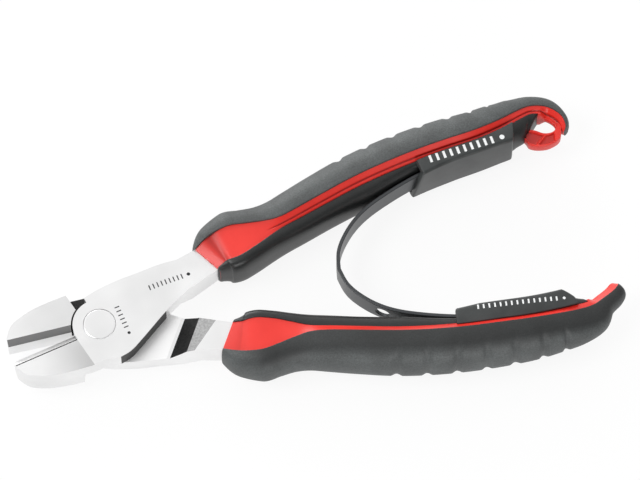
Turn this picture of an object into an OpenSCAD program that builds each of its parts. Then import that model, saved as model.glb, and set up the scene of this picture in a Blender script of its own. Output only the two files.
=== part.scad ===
// Diagonal cutting pliers with two-colour moulded grips and a return leaf spring.
// X runs along the tool, jaws towards -X. Z = 0 is the back face of the joint.
// Everything is drawn in the rest pose, with the spring holding the jaws open.

/* [Head] */
// Thickness of the head, both levers together
head_t = 11; // [9:0.5:14]
// Radius of the round joint plates
joint_r = 8.1; // [7.5:0.1:9]
// Distance from the pivot to the jaw tips
jaw_len = 28; // [22:1:34]
// Depth of one jaw, from its cutting edge to its back
jaw_depth = 11.5; // [10:0.5:13]
// Angle between the two cutting edges at rest
jaw_open = 10.6; // [8:0.1:12]
// Angle by which the jaws point off the handles' middle line
jaw_skew = 4.35; // [0:0.05:6]
// Depth of the cutting edge below the front face
edge_drop = 1.5; // [1:0.1:3]
// Setback of the front face from the cutting edge
bevel_run = 1.75; // [1:0.05:2.5]
// Setback of the back face from the cutting edge
relief_run = 1.2; // [0.5:0.1:2]
// Amount that the jaw faces taper towards the tip
tip_taper = 0.8; // [0.2:0.1:1.5]
// Gap between the round plates and the opposite jaw
plate_gap = 0.5; // [0.3:0.1:1]
// Gap between the sliding faces of the joint
lap_gap = 0.06; // [0.04:0.01:0.1]

/* [Pivot] */
// Diameter of the rivet's shank
rivet_d = 7.2; // [6:0.1:8]
// Diameter of the rivet's flush heads
rivet_head_d = 9.8; // [9:0.1:11]
// Thickness of each rivet head
rivet_head_t = 1.6; // [1:0.1:2.2]
// Radial clearance round the rivet
rivet_clear = 0.03; // [0.02:0.01:0.08]

/* [Shanks] */
// Thickness of the shanks where they enter the grips
shank_t = 8; // [7:0.5:9]
// Width of the shanks where they enter the grips
shank_w = 9.6; // [8.5:0.1:10.5]
// Width of the hidden tangs at their far end
tang_w = 5; // [4:0.5:6]
// Thickness of the hidden tangs
tang_t = 6; // [4:0.5:7]
// Clearance between a tang and its socket in the grip
tang_clear = 0.05; // [0.02:0.01:0.2]

/* [Grips] */
// Distance from the pivot to the grips' front ends, along the tool
grip_start = 36.3; // [36:0.1:38]
// Length of a grip along the tool
grip_len = 118; // [105:1:130]
// Largest reach of a grip outwards from its parting band
grip_out = 11.9; // [10.5:0.1:13]
// Largest reach of a grip inwards from its parting band
grip_in = 8.8; // [8:0.1:10]
// Thickness of a grip at its outer skin
grip_t = 19.6; // [18:0.1:22]
// Thickness of a grip at its inner skin
grip_in_t = 14; // [13:0.1:15]
// Half width of the red band along the grip
band_half = 1.25; // [1:0.05:1.6]
// Half width of the red face at the front of the grip
red_face_half = 5.2; // [4:0.1:6]
// Thickness of the outer skins at the side
skin_t = 2.4; // [1.5:0.1:3]
// Thickness of the skins at the front and back faces
skin_face_t = 1.6; // [1:0.1:2]
// Thickness of the inner skins at the side
inner_skin_t = 1.5; // [1:0.1:1.8]
// Gap between a skin and the red core
skin_gap = 0.05; // [0.03:0.01:0.1]
// Number of finger grooves in each outer skin
groove_count = 7; // [3:1:7]
// Spacing of the finger grooves
groove_pitch = 8.5; // [8:0.1:8.8]
// Depth of the finger grooves
groove_depth = 0.8; // [0.4:0.1:1.2]
// Width of the finger grooves
groove_w = 3.4; // [2.5:0.1:4.5]

/* [Spring sockets] */
// Distance from the pivot to the sockets' open ends, along the tool
socket_start = 104.5; // [102:0.5:107]
// Length of a spring socket
socket_len = 31; // [24:0.5:32]
// Reach of a socket inwards from the parting band
socket_in = 6.7; // [6.5:0.1:7.2]
// Wall thickness of a socket
socket_wall = 1.25; // [1:0.05:1.5]
// Clearance round the spring end in a socket
socket_clear = 0.35; // [0.3:0.05:0.5]

/* [Leaf spring] */
// Thickness of the spring strip
spring_t = 1.1; // [0.8:0.1:1.3]
// Width of the spring strip
spring_w = 8; // [6:0.5:9]
// Distance from the pivot to the spring's bow, along the tool
bow_x = 74.2; // [70:0.2:78]
// Diameter of the hole in the spring
spring_hole_d = 4.6; // [3:0.1:5.5]
// Distance from the bow to the hole, along the tool
spring_hole_x = 9.7; // [8:0.1:14]

/* [Tether eye] */
// Thickness of the closing web of the eye
eye_t = 3.6; // [3:0.1:5]
// Width of the bar that closes the eye
eye_bar = 3.2; // [2.4:0.1:4]

/* [Hidden] */
$fn = 64;

steel = "gainsboro";
rivet_steel = "silver";
red = "firebrick";
skin_grey = "dimgray";
socket_grey = "darkslategray";
spring_grey = "slategray";

mid = head_t / 2;
big = 200;
curve_steps = 5;

// Handle stations: place of the parting band, as drawn for a grip that starts at x = 36.3
drawn_start = 36.3;
drawn_len = 118;
band_common = [[36.3, 13], [40.5, 14.9], [45.5, 15.7], [50.5, 16.3], [55.5, 17], [60.5, 17.9],
    [66.5, 19.4], [75.5, 22], [85.5, 24.8], [95.5, 27], [105.5, 28.7], [115.5, 29.9], [125.5, 30.9]];
band_eye_end = [[133.5, 32.7], [139.5, 34.9], [144.2, 36.2], [148.8, 35], [151.8, 31.8], [152.3, 28]];
band_hook_end = [[133.5, 31.1], [139.5, 30.7], [144.5, 29.9], [148.5, 28.2], [151.7, 26.6], [154.2, 24.6]];
// Outward and inward reach, thickness and band width along the same stations, as shares of the largest
out_common = [0.5, 0.83, 1, 0.92, 0.84, 0.83, 0.87, 0.91, 0.94, 0.95, 0.94, 0.92, 0.87];
out_eye_end = [0.8, 0.66, 0.5, 0.42, 0.28, 0.19];
out_hook_end = [0.82, 0.81, 0.72, 0.47, 0.42, 0.35];
in_common = [0.69, 0.93, 1, 0.89, 0.75, 0.66, 0.63, 0.61, 0.63, 0.67, 0.7, 0.72, 0.74];
in_eye_end = [0.82, 0.95, 0.9, 0.9, 0.9, 0.9];
in_hook_end = [0.62, 0.5, 0.36, 0.36, 0.36, 0.36];
thick_share = [0.53, 0.71, 0.78, 0.79, 0.82, 0.88, 0.94, 0.98, 1, 1, 1, 1, 0.97, 0.86, 0.68, 0.54,
    0.48, 0.44, 0.4];
in_thick_share = [0.72, 0.96, 1.06, 1.07, 1.05, 1, 0.98, 0.98, 0.98, 0.98, 0.98, 0.98, 0.96, 0.9, 0.8, 0.66,
    0.58, 0.52, 0.48];
face_share = [0.88, 0.94, 1, 0.79, 0.52, 0.29, 0.24];
last_station = len(band_common) + len(band_eye_end) - 1;
skin_end = 14.95;
end_slant = 0.6;
bare_liner = 0.7;
// Thickness of the bare end at its inner edge, as a share of the covered grip's
bare_share = 0.45;
tip_start = last_station - 0.6;

outer_steps = 6;
inner_steps = 4;
outer_square = 0.86;
inner_square = 0.62;
tip_len = 0.6;
head_rings = [for (t = [0:0.4:7.2]) t];
tip_rings = [for (a = [0:21:84]) tip_start + tip_len * sin(a)];

// Catmull-Rom value of a list of numbers or points at station t
function at(list, t) =
    let (n = len(list) - 1, i = min(max(floor(t), 0), n - 1), f = t - i,
        a = list[max(i - 1, 0)], b = list[i], c = list[i + 1], d = list[min(i + 2, n)])
    0.5 * (2 * b + f * (c - a) + f * f * (2 * a - 5 * b + 4 * c - d) + f * f * f * (3 * b - a - 3 * c + d));

// Rounds the last stretch of a grip off to its tip
function tip(t) = t <= tip_start ? 1 : sqrt(max(1 - pow((t - tip_start) / (1.03 * tip_len), 2), 0.02));

function band_list(eye) = concat(band_common, eye ? band_eye_end : band_hook_end);
function out_list(eye) = concat(out_common, eye ? out_eye_end : out_hook_end);
function band_at(eye, t) =
    let (p = at(band_list(eye), t))
    [grip_start + (p[0] - drawn_start) * grip_len / drawn_len, p[1]];
function heading(eye, t) =
    let (d = band_at(eye, min(t + 0.05, last_station)) - band_at(eye, max(t - 0.05, 0)))
    t < 0.01 ? 33 : atan2(d[1], d[0]) + (t < 1.2 ? (33 - atan2(1.9, 4.2)) * pow(1 - t / 1.2, 2) : 0);
function reach_out(eye, t) = grip_out * at(out_list(eye), t) * tip(t);
function half_out(t) = grip_t / 2 * at(thick_share, t) * tip(t);
function half_in(t) = grip_in_t / 2 * at(in_thick_share, t) * tip(t);
function band(t) =
    (t < 6 ? red_face_half * max(at(face_share, t), band_half / red_face_half) : band_half) * tip(t);
function in_list(eye) = concat(in_common, eye ? in_eye_end : in_hook_end);
function reach_in(eye, t) = grip_in * at(in_list(eye), t);

// Station whose band point lies at a distance x from the pivot, along the tool
function station(eye, x, lo = 0, hi = 15, left = 20) =
    left == 0 ? (lo + hi) / 2 :
    band_at(eye, (lo + hi) / 2)[0] < x ? station(eye, x, (lo + hi) / 2, hi, left - 1)
        : station(eye, x, lo, (lo + hi) / 2, left - 1);

socket_t0 = station(true, socket_start);
socket_t1 = station(true, socket_start + socket_len);
spring_room = spring_t + 2 * socket_clear;
recess_in = socket_in - socket_wall - spring_room;
groove_first = 8;
station_step = 10;
// Rise of the inner skin per mm ahead of a socket, under the spring
lead_slope = 0.12;
function skin_in(eye, t) =
    t > socket_t1 ? reach_in(eye, t)
        : min(recess_in + lead_slope * max(socket_t0 - t, 0) * station_step, reach_in(eye, t));

inner_stations = concat(head_rings, [for (t = [7.6:0.5:socket_t0 - 0.3]) t], [socket_t0],
    [for (t = [socket_t0 + 0.6:0.6:socket_t1 - 0.2]) t], [socket_t1 - 0.02, socket_t1 + 0.02, skin_end]);

// How deep the finger grooves cut at station t and section angle a
function groove(t, a) =
    let (sides = [for (i = [0:groove_count - 1])
        (t - groove_first - i * groove_pitch / station_step) * station_step / (groove_w / 2)])
    groove_depth * max([for (s = sides) abs(s) < 1 ? pow(1 - s * s, 2) : 0]) * max(cos(a * 1.15), 0);

// Half section curve from the front face (angle 90) round the side to the back face (angle -90)
function side_curve(from, reach, half, square, steps, grooved_at = -1) =
    [for (i = [0:steps * 2])
        let (a = 90 - 90 * i / steps, cut = grooved_at < 0 ? 0 : groove(grooved_at, a))
        [from + (reach - cut) * pow(max(cos(a), 0), square), half * sign(sin(a)) * pow(abs(sin(a)), square)]];
function flipped(list) = [for (i = [len(list) - 1:-1:0]) list[i]];
function inwards(list) = [for (p = list) [-p[0], p[1]]];

// Share of the full skin thickness, thin at a grip's mouth and at its tip
function skin_share(t) = min(tip(t), 0.3 + 0.7 * t);

function outer_skin_ring(eye, t) =
    let (b = band(t), r = reach_out(eye, t) - b, h = half_out(t), s = skin_share(t))
    concat(side_curve(b, r, h, outer_square, outer_steps, t),
        flipped(side_curve(b, r - skin_t * s, h - skin_face_t * s, outer_square, outer_steps)));
function inner_skin_ring(eye, t) =
    let (b = band(t), r = skin_in(eye, t) - b, h = half_in(t), s = skin_share(t), q = inner_square_at(t))
    inwards(concat(side_curve(b, r - inner_skin_t * s, h - skin_face_t * s, q, inner_steps),
        flipped(side_curve(b, r, h, q, inner_steps))));
function core_ring(eye, t) =
    let (s = skin_share(t), g = skin_gap, b = band(t) - g, bare = t > skin_end + 0.01,
        r = reach_out(eye, t) - b - skin_t * s - 2 * g * tip(t), h = half_out(t),
        ri = bare ? bare_liner * s : skin_in(eye, t) - b - inner_skin_t * s - 2 * g,
        edge = bare ? bare_share * half_in(t) : half_in(t), hi = edge - (bare ? g : skin_face_t * s + g))
    concat([[-b, edge], [b, h]],
        side_curve(b, r, h - skin_face_t * s - g, outer_square, outer_steps),
        [[b, -h], [-b, -edge]],
        inwards(flipped(side_curve(b, ri, hi, inner_square_at(t), inner_steps))));

// Past the socket the inner side turns from boxy to round
function inner_square_at(t) = inner_square + (1 - inner_square) * min(max((t - socket_t1) / 1.2, 0), 1);

function socket_ring(t) =
    let (b = band(t) + 0.05, r = socket_in - b, h = half_in(t) + skin_gap)
    inwards(concat(side_curve(b, r - socket_wall, h, inner_square, inner_steps),
        flipped(side_curve(b, r, h + socket_wall, inner_square, inner_steps))));

// Stands a ring of [outward, height] points square to the band at station t. At the inner skin's
// end the inner side leans back
function placed(eye, t, ring) =
    let (p = band_at(eye, t), a = heading(eye, t), lean = abs(t - skin_end) < 0.03 ? end_slant : 0)
    [for (q = ring) let (f = lean * min(q[0], 0))
        [p[0] - q[0] * sin(a) + f * cos(a), p[1] + q[0] * cos(a) + f * sin(a), q[1]]];

// Triangles between rows of n points, where row i starts at point first + i * n
function tube_faces(first, rows, n, inside = false) =
    [for (i = [0:rows - 2], j = [0:n - 1], half = [0, 1])
        let (k = (j + 1) % n, a = first + i * n,
            f = half == 0 ? [a + j, a + k, a + n + k] : [a + j, a + n + k, a + n + j])
        inside ? flipped(f) : f];
// Fan of triangles from point hub over the n points that start at first
function fan_faces(first, n, hub, far) =
    [for (j = [0:n - 1]) let (k = (j + 1) % n) far ? [hub, first + j, first + k] : [hub, first + k, first + j]];
function middle(ring) = [for (j = [1:len(ring)]) 1] * ring / len(ring);

// Solid bar through a row of equally long rings
module loft(rings) {
    n = len(rings[0]);
    m = len(rings);
    polyhedron(concat([for (r = rings) each r], [middle(rings[0]), middle(rings[m - 1])]),
        concat(tube_faces(0, m, n), fan_faces(0, n, m * n, false), fan_faces((m - 1) * n, n, m * n + 1, true)));
}

// Solid strip, bent lengthwise, through a row of rings that run along its outer side and back
module strip_loft(rings) {
    n = len(rings[0]);
    m = len(rings);
    last = (m - 1) * n;
    ends = [for (j = [0:n / 2 - 2], far = [0, 1], half = [0, 1])
        let (q = [j, j + 1, n - 2 - j, n - 1 - j], f = half == 0 ? [q[0], q[1], q[2]] : [q[0], q[2], q[3]])
        far == 0 ? flipped(f) : [for (c = f) last + c]];
    polyhedron([for (r = rings) each r], concat(tube_faces(0, m, n), ends));
}

// Solid bar like loft, with a blind pocket through a second row of rings from its first end
module pocketed_loft(rings, pocket) {
    n = len(rings[0]);
    m = len(rings);
    k = len(pocket);
    first = m * n;
    hubs = first + k * n;
    rim = [for (j = [0:n - 1], half = [0, 1])
        let (i = (j + 1) % n)
        half == 0 ? [j, first + j, first + i] : [j, first + i, i]];
    polyhedron(concat([for (r = concat(rings, pocket)) each r], [middle(rings[m - 1]), middle(pocket[k - 1])]),
        concat(tube_faces(0, m, n), fan_faces((m - 1) * n, n, hubs, true), rim,
            tube_faces(first, k, n, true), fan_faces(first + (k - 1) * n, n, hubs + 1, false)));
}

function beside(p, a, d) = p + d * [-sin(a), cos(a)];
function before(p, a, d) = p - d * [cos(a), sin(a)];

// Places a piece of the upper handle, or turns it over for the lower one
module on_handle(upper) {
    translate([0, 0, mid]) rotate([upper ? 0 : 180, 0, 0]) children();
}

module slab(points, z0, z1) {
    translate([0, 0, z0]) linear_extrude(z1 - z0) polygon(points);
}

// Points of a smooth curve through a few chosen points
function smooth(points) =
    concat([for (t = [0:1 / curve_steps:len(points) - 1.001]) at(points, t)], [points[len(points) - 1]]);

// Web that closes the tether eye between the hook's tip and the end of the inner skin,
// as offsets from the middle of the bar below the hole
eye_bar_at = band_at(true, last_station) - [5.3, 1.9];
eye_web = [for (p = [[-7.4, 5.4], [-3.6, 4.6], [-1.4, 3.2], [1.4, 2.6], [3.4, 3.1], [4.6, 5.2], [5.2, 3.6],
    [4.2, 0.6], [0.6, -1.1], [-2.4, -1.1], [-5.2, 0.3], [-5.8, 2.4], [-7.6, 4.2]])
    eye_bar_at + [p[0] * grip_len / drawn_len, p[1] > 0 ? p[1] : (p[1] + 2.6) * eye_bar / 3.2 - 2.6]];

// Middle line of one half of the leaf spring, from its bow into the socket
spring_reach = socket_in - socket_wall - socket_clear - spring_t / 2;
spring_margin = 3;
function in_channel(eye, x) =
    let (t = station(eye, x), a = heading(eye, t))
    beside(band_at(eye, t), a, -spring_reach);
spring_entry = in_channel(true, socket_start);
function spring_line(eye) = smooth(concat([[bow_x, 0], [bow_x + 1.2, 5.3], [bow_x + 4.1, 9.9],
    [bow_x + 8.6, 14.4], [bow_x + 14.3, 18]], [spring_entry - [8.5, 2.7]],
    [for (x = [socket_start:4:socket_start + socket_len - spring_margin]) in_channel(eye, x)]));
spring_path = concat([for (p = flipped(spring_line(false))) [p[0], -p[1]]],
    [for (i = [1:len(spring_line(true)) - 1]) spring_line(true)[i]]);
function spring_heading(i) =
    let (n = len(spring_path) - 1, d = spring_path[min(i + 1, n)] - spring_path[max(i - 1, 0)])
    atan2(d[1], d[0]);
function spring_edge(s) =
    [for (i = [0:len(spring_path) - 1]) beside(spring_path[i], spring_heading(i), s * spring_t / 2)];
// First point of the lower half that lies nearer to the bow than the hole
hole_at = [for (i = [1:len(spring_path) - 1]) if (spring_path[i][0] < bow_x + spring_hole_x) i][0];
hole_share = (spring_path[hole_at - 1][0] - bow_x - spring_hole_x)
    / (spring_path[hole_at - 1][0] - spring_path[hole_at][0]);
hole_centre = spring_path[hole_at - 1] + hole_share * (spring_path[hole_at] - spring_path[hole_at - 1]);

// Jaw outline in the closed pose, cutting edge along y = 0, from just outside the rivet's head
jaw_curve = smooth([[-1, -0.21], [-0.915, -0.54], [-0.725, -0.775], [-0.52, -0.905], [-0.27, -1]]);
jaw_points = concat([[-rivet_head_d / 2 - 1.3, 0], [-jaw_len, 0]],
    [for (p = jaw_curve) [p[0] * jaw_len, p[1] * jaw_depth]], [[1.5, -jaw_depth - 0.1]]);

// Middle line of the tang inside the grip, its half width and its outline
grip_front = band_at(true, 0);
front_heading = heading(true, 0);
shank_slope = 17;
tang_shift = 3;
tang_last = 11.5;
function tang_at(t) =
    band_at(true, t) + tang_shift * min(t / 5, 1) * [-sin(heading(true, t)), cos(heading(true, t))];
function tang_half(t) = tang_w / 2 + (shank_w / 2 - 0.6 - tang_w / 2) * max(1 - t / 6, 0);
tang_stations = [for (i = [0:10]) i * tang_last / 10];
function tang_heading(t) = t > 0 && t < 2 ? shank_slope : heading(true, t);
function tang_side(s, grow) =
    [for (t = tang_stations) beside(before(tang_at(t), tang_heading(t), t < tang_last ? 0 : -grow),
        tang_heading(t), s * (tang_half(t) + grow))];
module tang_plan() {
    polygon(concat([beside(before(grip_front, shank_slope, 3), shank_slope, tang_half(0) - 0.4)], tang_side(1, 0),
        flipped(tang_side(-1, 0)), [beside(before(grip_front, shank_slope, 3), shank_slope, 0.4 - tang_half(0))]));
}
// Number of the point of a ring that lies nearest in direction to a corner
function toward(ring, corner) =
    let (off = [for (q = ring) norm(q / norm(q) - corner / norm(corner))])
    [for (j = [0:len(ring) - 1]) if (off[j] == min(off)) j][0];
// Rings of the tang's pocket, with a point towards each point of a core's first ring
function pocket_rings(guide) =
    let (high = tang_t / 2 + tang_clear, wide = tang_half(0) + tang_clear,
        at_corner = [for (x = [-1, 1], y = [-1, 1]) toward(guide, [x * wide, y * high])],
        shares = [for (j = [0:len(guide) - 1])
            let (q = guide[j], k = 1 / max(abs(q[0]) / wide, abs(q[1]) / high))
            len(search(j, at_corner)) > 0 ? [sign(q[0]), sign(q[1])] : [k * q[0] / wide, k * q[1] / high]])
    [for (i = [0:len(tang_stations) - 1])
        let (left = tang_side(1, tang_clear)[i], right = tang_side(-1, tang_clear)[i])
        [for (s = shares)
            let (p = (left + right + s[0] * (left - right)) / 2)
            [p[0], p[1], s[1] * high]]];

// Plan of the shank from the joint plate to the grip, outer side first
function shank_end(s) = beside(before(grip_front, front_heading, tang_clear), front_heading, s * shank_w / 2);
plate_curve = smooth([[-2.6, 9.4], [2, 11], [8.6, 12.5], [15.8, 13.5], [22, 14.6], [27.5, 15]]);
inner_curve = smooth([[29, 4.7], [23.5, 1.2], [19.3, -1.7], [11.4, -7.8], [7.1, -10.8], [3.2, -12.1]]);
shank_points = concat(plate_curve, [shank_end(1), shank_end(-1)], inner_curve, [[-1.5, -jaw_depth + 0.2], [0, 0]]);

// Extrudes an outline of [distance along the grips' front direction, height] points across a shank
module across(points) {
    rotate([0, 0, front_heading]) rotate([90, 0, 0]) translate([0, 0, -big / 2]) linear_extrude(big) polygon(points);
}
// Extrudes an outline of [distance from the cutting edge, height] points along the jaws
module along_jaw(points) {
    translate([-big / 2, 0, 0]) rotate([90, 0, 90]) linear_extrude(big / 2) polygon(points);
}

// Where the shank thickens behind the joint, measured along the grips' front direction
ramp_from = 22.8;
ramp_to = 27.5;
grip_distance = grip_front * [cos(front_heading), sin(front_heading)];
// Lower end of the edge where the jaw stops short of the other lever's plate
notch = [-6.2, -7.4];
notch_slope = 19.3;

// One lever, drawn as the front one with its handle on the +Y side, centred on the joint's middle plane.
// edge_side is 1 where the cutting edge lies near the drawn front face and -1 near the back face
module lever(edge_angle, edge_side) {
    lap = lap_gap / 2;
    edge_z = edge_side * (mid - edge_drop);
    taper_from = joint_r + plate_gap;
    taper = atan2(tip_taper, jaw_len - taper_from);
    // The wide jaw's taper starts at a slanted crease beside its own plate
    crease = edge_side > 0 ? [-joint_r + 0.15, -2.5] : [-taper_from, 0];
    crease_turn = edge_side > 0 ? 9.35 : 0;
    difference() {
        union() {
            // Joint plate and shank, with a ramp from the joint's middle down to the full thickness
            difference() {
                translate([0, 0, -mid]) linear_extrude(head_t) {
                    polygon(shank_points);
                    circle(joint_r);
                }
                across([[-big / 2, lap], [ramp_from, lap], [ramp_to, -shank_t / 2], [big, -shank_t / 2],
                    [big, -big / 2], [-big / 2, -big / 2]]);
            }
            // Jaw with its cutting bevel and relief, tapering to the tip
            rotate(edge_angle) difference() {
                slab(jaw_points, -mid, mid);
                translate([-taper_from, 0, edge_side * mid]) rotate([0, -edge_side * taper, 0])
                    translate([taper_from, 0, -edge_side * mid])
                        along_jaw([[0, edge_z], [-bevel_run, edge_side * mid], [-bevel_run, edge_side * big / 2],
                            [big / 2, edge_side * big / 2], [big / 2, -edge_side * big / 2],
                            [-relief_run, -edge_side * big / 2], [-relief_run, -edge_side * mid]]);
                for (s = [0, 1]) mirror([0, 0, s]) translate([crease[0], crease[1], mid])
                    rotate([0, 0, crease_turn]) rotate([0, -taper, 0])
                        translate([-big, -big / 2, 0]) cube([big, big, 5]);
            }
            translate([0, 0, -tang_t / 2]) linear_extrude(tang_t) tang_plan();
        }
        // Room for the other lever's plate behind the front half
        translate([0, 0, -mid - 1]) cylinder(r = joint_r + plate_gap, h = mid + 1 + lap);
        translate([notch[0], notch[1], -mid - 1]) rotate(-notch_slope)
            translate([0, -big / 2, 0]) cube([16, big / 2 + 4, mid + 1 + lap]);
        // Front face falls away towards the grip
        across([[ramp_from - 1, mid + 1], [ramp_from - 1, mid], [grip_distance, shank_t / 2],
            [big, shank_t / 2], [big, mid + 1]]);
        translate([0, 0, -mid - 1]) cylinder(d = rivet_d + 2 * rivet_clear, h = head_t + 2);
        translate([0, 0, mid - rivet_head_t]) cylinder(d = rivet_head_d + 2 * rivet_clear, h = rivet_head_t + 1);
    }
}

module front_lever() {
    color(steel) on_handle(true) lever(jaw_open / 2 + jaw_skew, 1);
}
module back_lever() {
    color(steel) on_handle(false) lever(jaw_open / 2 - jaw_skew, -1);
}
module pivot_rivet() {
    color(rivet_steel) {
        cylinder(d = rivet_d, h = head_t);
        for (z = [0, head_t - rivet_head_t + rivet_clear])
            translate([0, 0, z]) cylinder(d = rivet_head_d, h = rivet_head_t - rivet_clear);
    }
}
// Red inner part of a grip, moulded on the tang; the eye adds a web that closes the hook
module core(eye) {
    stations = concat(inner_stations, [skin_end + 0.02], [for (t = [15:0.4:tip_start - 0.1]) t], tip_rings);
    pocketed_loft([for (t = stations) placed(eye, t, core_ring(eye, t))], pocket_rings(core_ring(eye, 0)));
    if (eye) slab(eye_web, -eye_t / 2, eye_t / 2);
}
module upper_grip_core() {
    color(red) on_handle(true) core(true);
}
module lower_grip_core() {
    color(red) on_handle(false) core(false);
}
module outer_skin(eye) {
    stations = concat(head_rings, [for (t = [7.4:0.14:13.5]) t], [for (t = [13.8:0.4:tip_start - 0.1]) t], tip_rings);
    strip_loft([for (t = stations) placed(eye, t, outer_skin_ring(eye, t))]);
}
module upper_outer_skin() {
    color(skin_grey) on_handle(true) outer_skin(true);
}
module lower_outer_skin() {
    color(skin_grey) on_handle(false) outer_skin(false);
}
module inner_skin(eye) {
    strip_loft([for (t = inner_stations) placed(eye, t, inner_skin_ring(eye, t))]);
}
module upper_inner_skin() {
    color(skin_grey) on_handle(true) inner_skin(true);
}
module lower_inner_skin() {
    color(skin_grey) on_handle(false) inner_skin(false);
}
// Channel that wraps the inner skin and holds the spring's end
module spring_socket(eye) {
    stations = [for (i = [0:6]) socket_t0 + 0.02 + (socket_t1 - socket_t0 - 0.04) * i / 6];
    strip_loft([for (t = stations) placed(eye, t, socket_ring(t))]);
}
module upper_spring_socket() {
    color(socket_grey) on_handle(true) spring_socket(true);
}
module lower_spring_socket() {
    color(socket_grey) on_handle(false) spring_socket(false);
}
module leaf_spring() {
    color(spring_grey) on_handle(true) difference() {
        linear_extrude(spring_w, center = true) polygon(concat(spring_edge(1), flipped(spring_edge(-1))));
        translate([hole_centre[0], hole_centre[1], 0])
            rotate([0, 90, spring_heading(hole_at) + 90])
                cylinder(d = spring_hole_d, h = spring_t + 5, center = true);
    }
}

front_lever();
back_lever();
pivot_rivet();
upper_grip_core();
lower_grip_core();
upper_outer_skin();
lower_outer_skin();
upper_inner_skin();
lower_inner_skin();
upper_spring_socket();
lower_spring_socket();
leaf_spring();
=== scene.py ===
import logging
import math
from dataclasses import dataclass, field
from enum import Enum

import bmesh
import bpy
import numpy as np
from mathutils import Matrix, Vector


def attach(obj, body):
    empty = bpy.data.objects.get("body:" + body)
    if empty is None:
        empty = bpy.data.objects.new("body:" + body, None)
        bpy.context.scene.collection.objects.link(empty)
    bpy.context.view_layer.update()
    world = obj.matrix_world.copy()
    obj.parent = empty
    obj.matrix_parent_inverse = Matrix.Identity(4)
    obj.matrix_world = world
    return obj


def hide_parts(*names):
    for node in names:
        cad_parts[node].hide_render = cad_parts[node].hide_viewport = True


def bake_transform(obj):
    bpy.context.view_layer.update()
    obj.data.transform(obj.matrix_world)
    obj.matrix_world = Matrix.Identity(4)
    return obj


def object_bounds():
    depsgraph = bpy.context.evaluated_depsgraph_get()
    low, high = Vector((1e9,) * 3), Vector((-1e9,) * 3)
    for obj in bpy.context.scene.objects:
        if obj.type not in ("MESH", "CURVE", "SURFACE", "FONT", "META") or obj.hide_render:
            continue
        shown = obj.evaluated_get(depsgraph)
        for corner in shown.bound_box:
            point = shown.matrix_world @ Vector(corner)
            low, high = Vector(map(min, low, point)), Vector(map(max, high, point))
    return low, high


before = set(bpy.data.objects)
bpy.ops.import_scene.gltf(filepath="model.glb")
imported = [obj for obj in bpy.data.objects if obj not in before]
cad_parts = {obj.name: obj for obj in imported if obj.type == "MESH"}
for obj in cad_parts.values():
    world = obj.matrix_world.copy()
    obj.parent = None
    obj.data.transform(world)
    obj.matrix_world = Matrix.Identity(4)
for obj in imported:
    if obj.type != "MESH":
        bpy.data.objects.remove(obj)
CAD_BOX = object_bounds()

log = logging.getLogger("pliers")

MM = 0.001
HEAD_T = 11.0
MID = HEAD_T / 2
FRONT_HALF = "front_half"
BACK_HALF = "back_half"
# Points nearer to each other than this, in metres, are one point
SAME_POINT = 1e-6
# Places of the last rings of a handle's tip, as shares of the tip's length
TIP_RINGS = np.sin(np.radians([15, 30, 45, 58, 70, 80, 86]))
# Distance along a handle from one station to the next, at the mouth and at the skin's end, in mm
MOUTH_STATION = 4.6
END_STATION = 5.5


# ---------------------------------------------------------------------------------------------
# Curves and meshes
# ---------------------------------------------------------------------------------------------

def spline(points: np.ndarray, t: np.ndarray) -> np.ndarray:
    """Catmull-Rom curve: each point is the cubic through the two knots around t, with the slope
    at a knot set by its neighbours.

    Args:
        points: Knots as rows, or plain numbers.
        t: Places along the curve, where 0 is the first knot and 1 the second.

    Returns:
        One row, or number, for each t.
    """
    last = len(points) - 1
    i = np.clip(np.floor(t).astype(int), 0, last - 1)
    f = (t - i).reshape(-1, *([1] * (points.ndim - 1)))
    a, b, c, d = (points[np.clip(i + k, 0, last)] for k in (-1, 0, 1, 2))
    square, cube = 2 * a - 5 * b + 4 * c - d, 3 * b - a - 3 * c + d
    return 0.5 * (2 * b + f * (c - a) + f ** 2 * square + f ** 3 * cube)


def power(wave: np.ndarray, exponent: float | np.ndarray) -> np.ndarray:
    """A sine or cosine raised to a power with its sign kept, which squares an ellipse up."""
    return np.sign(wave) * np.abs(wave) ** exponent


def rounded(before: np.ndarray, corner: np.ndarray, after: np.ndarray, radius: float,
            steps: int) -> np.ndarray:
    """Rounds a corner of every ring at once with the parabola from a point on one side to a
    point on the other, each a radius away from the corner.

    Args:
        before: A point on the side that arrives, for each ring.
        corner: The corner, for each ring.
        after: A point on the side that leaves, for each ring.
        radius: Distance from the corner at which the rounding starts, in mm.
        steps: Number of points.

    Returns:
        Array of rings by steps by 2.
    """
    def step_to(p: np.ndarray) -> np.ndarray:
        """Point a radius away from the corner towards p, or half way if p is near."""
        d = p - corner
        size = np.maximum(np.linalg.norm(d, axis=-1, keepdims=True), 1e-6)
        return corner + d / size * np.minimum(radius, size / 2)

    s = np.linspace(0, 1, steps)[None, :, None]
    first, last = step_to(before)[:, None], step_to(after)[:, None]
    return (1 - s) ** 2 * first + 2 * s * (1 - s) * corner[:, None] + s ** 2 * last


def tube_faces(rows: int, columns: int) -> np.ndarray:
    """Quads between neighbouring rings of a closed tube, as an array of point numbers."""
    i, j = np.meshgrid(np.arange(rows - 1), np.arange(columns), indexing="ij")
    k = (j + 1) % columns
    near, far = i * columns, (i + 1) * columns
    return np.stack([near + j, far + j, far + k, near + k], -1).reshape(-1, 4)


def strip_caps(rows: int, columns: int) -> np.ndarray:
    """Quads that close both ends of a tube whose ring runs out along one side and back along the
    other, so that point j faces point columns - 1 - j."""
    j = np.arange(columns // 2 - 1)
    near = np.stack([j, j + 1, columns - 2 - j, columns - 1 - j], -1)
    return np.concatenate([near, near[:, ::-1] + (rows - 1) * columns])


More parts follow.
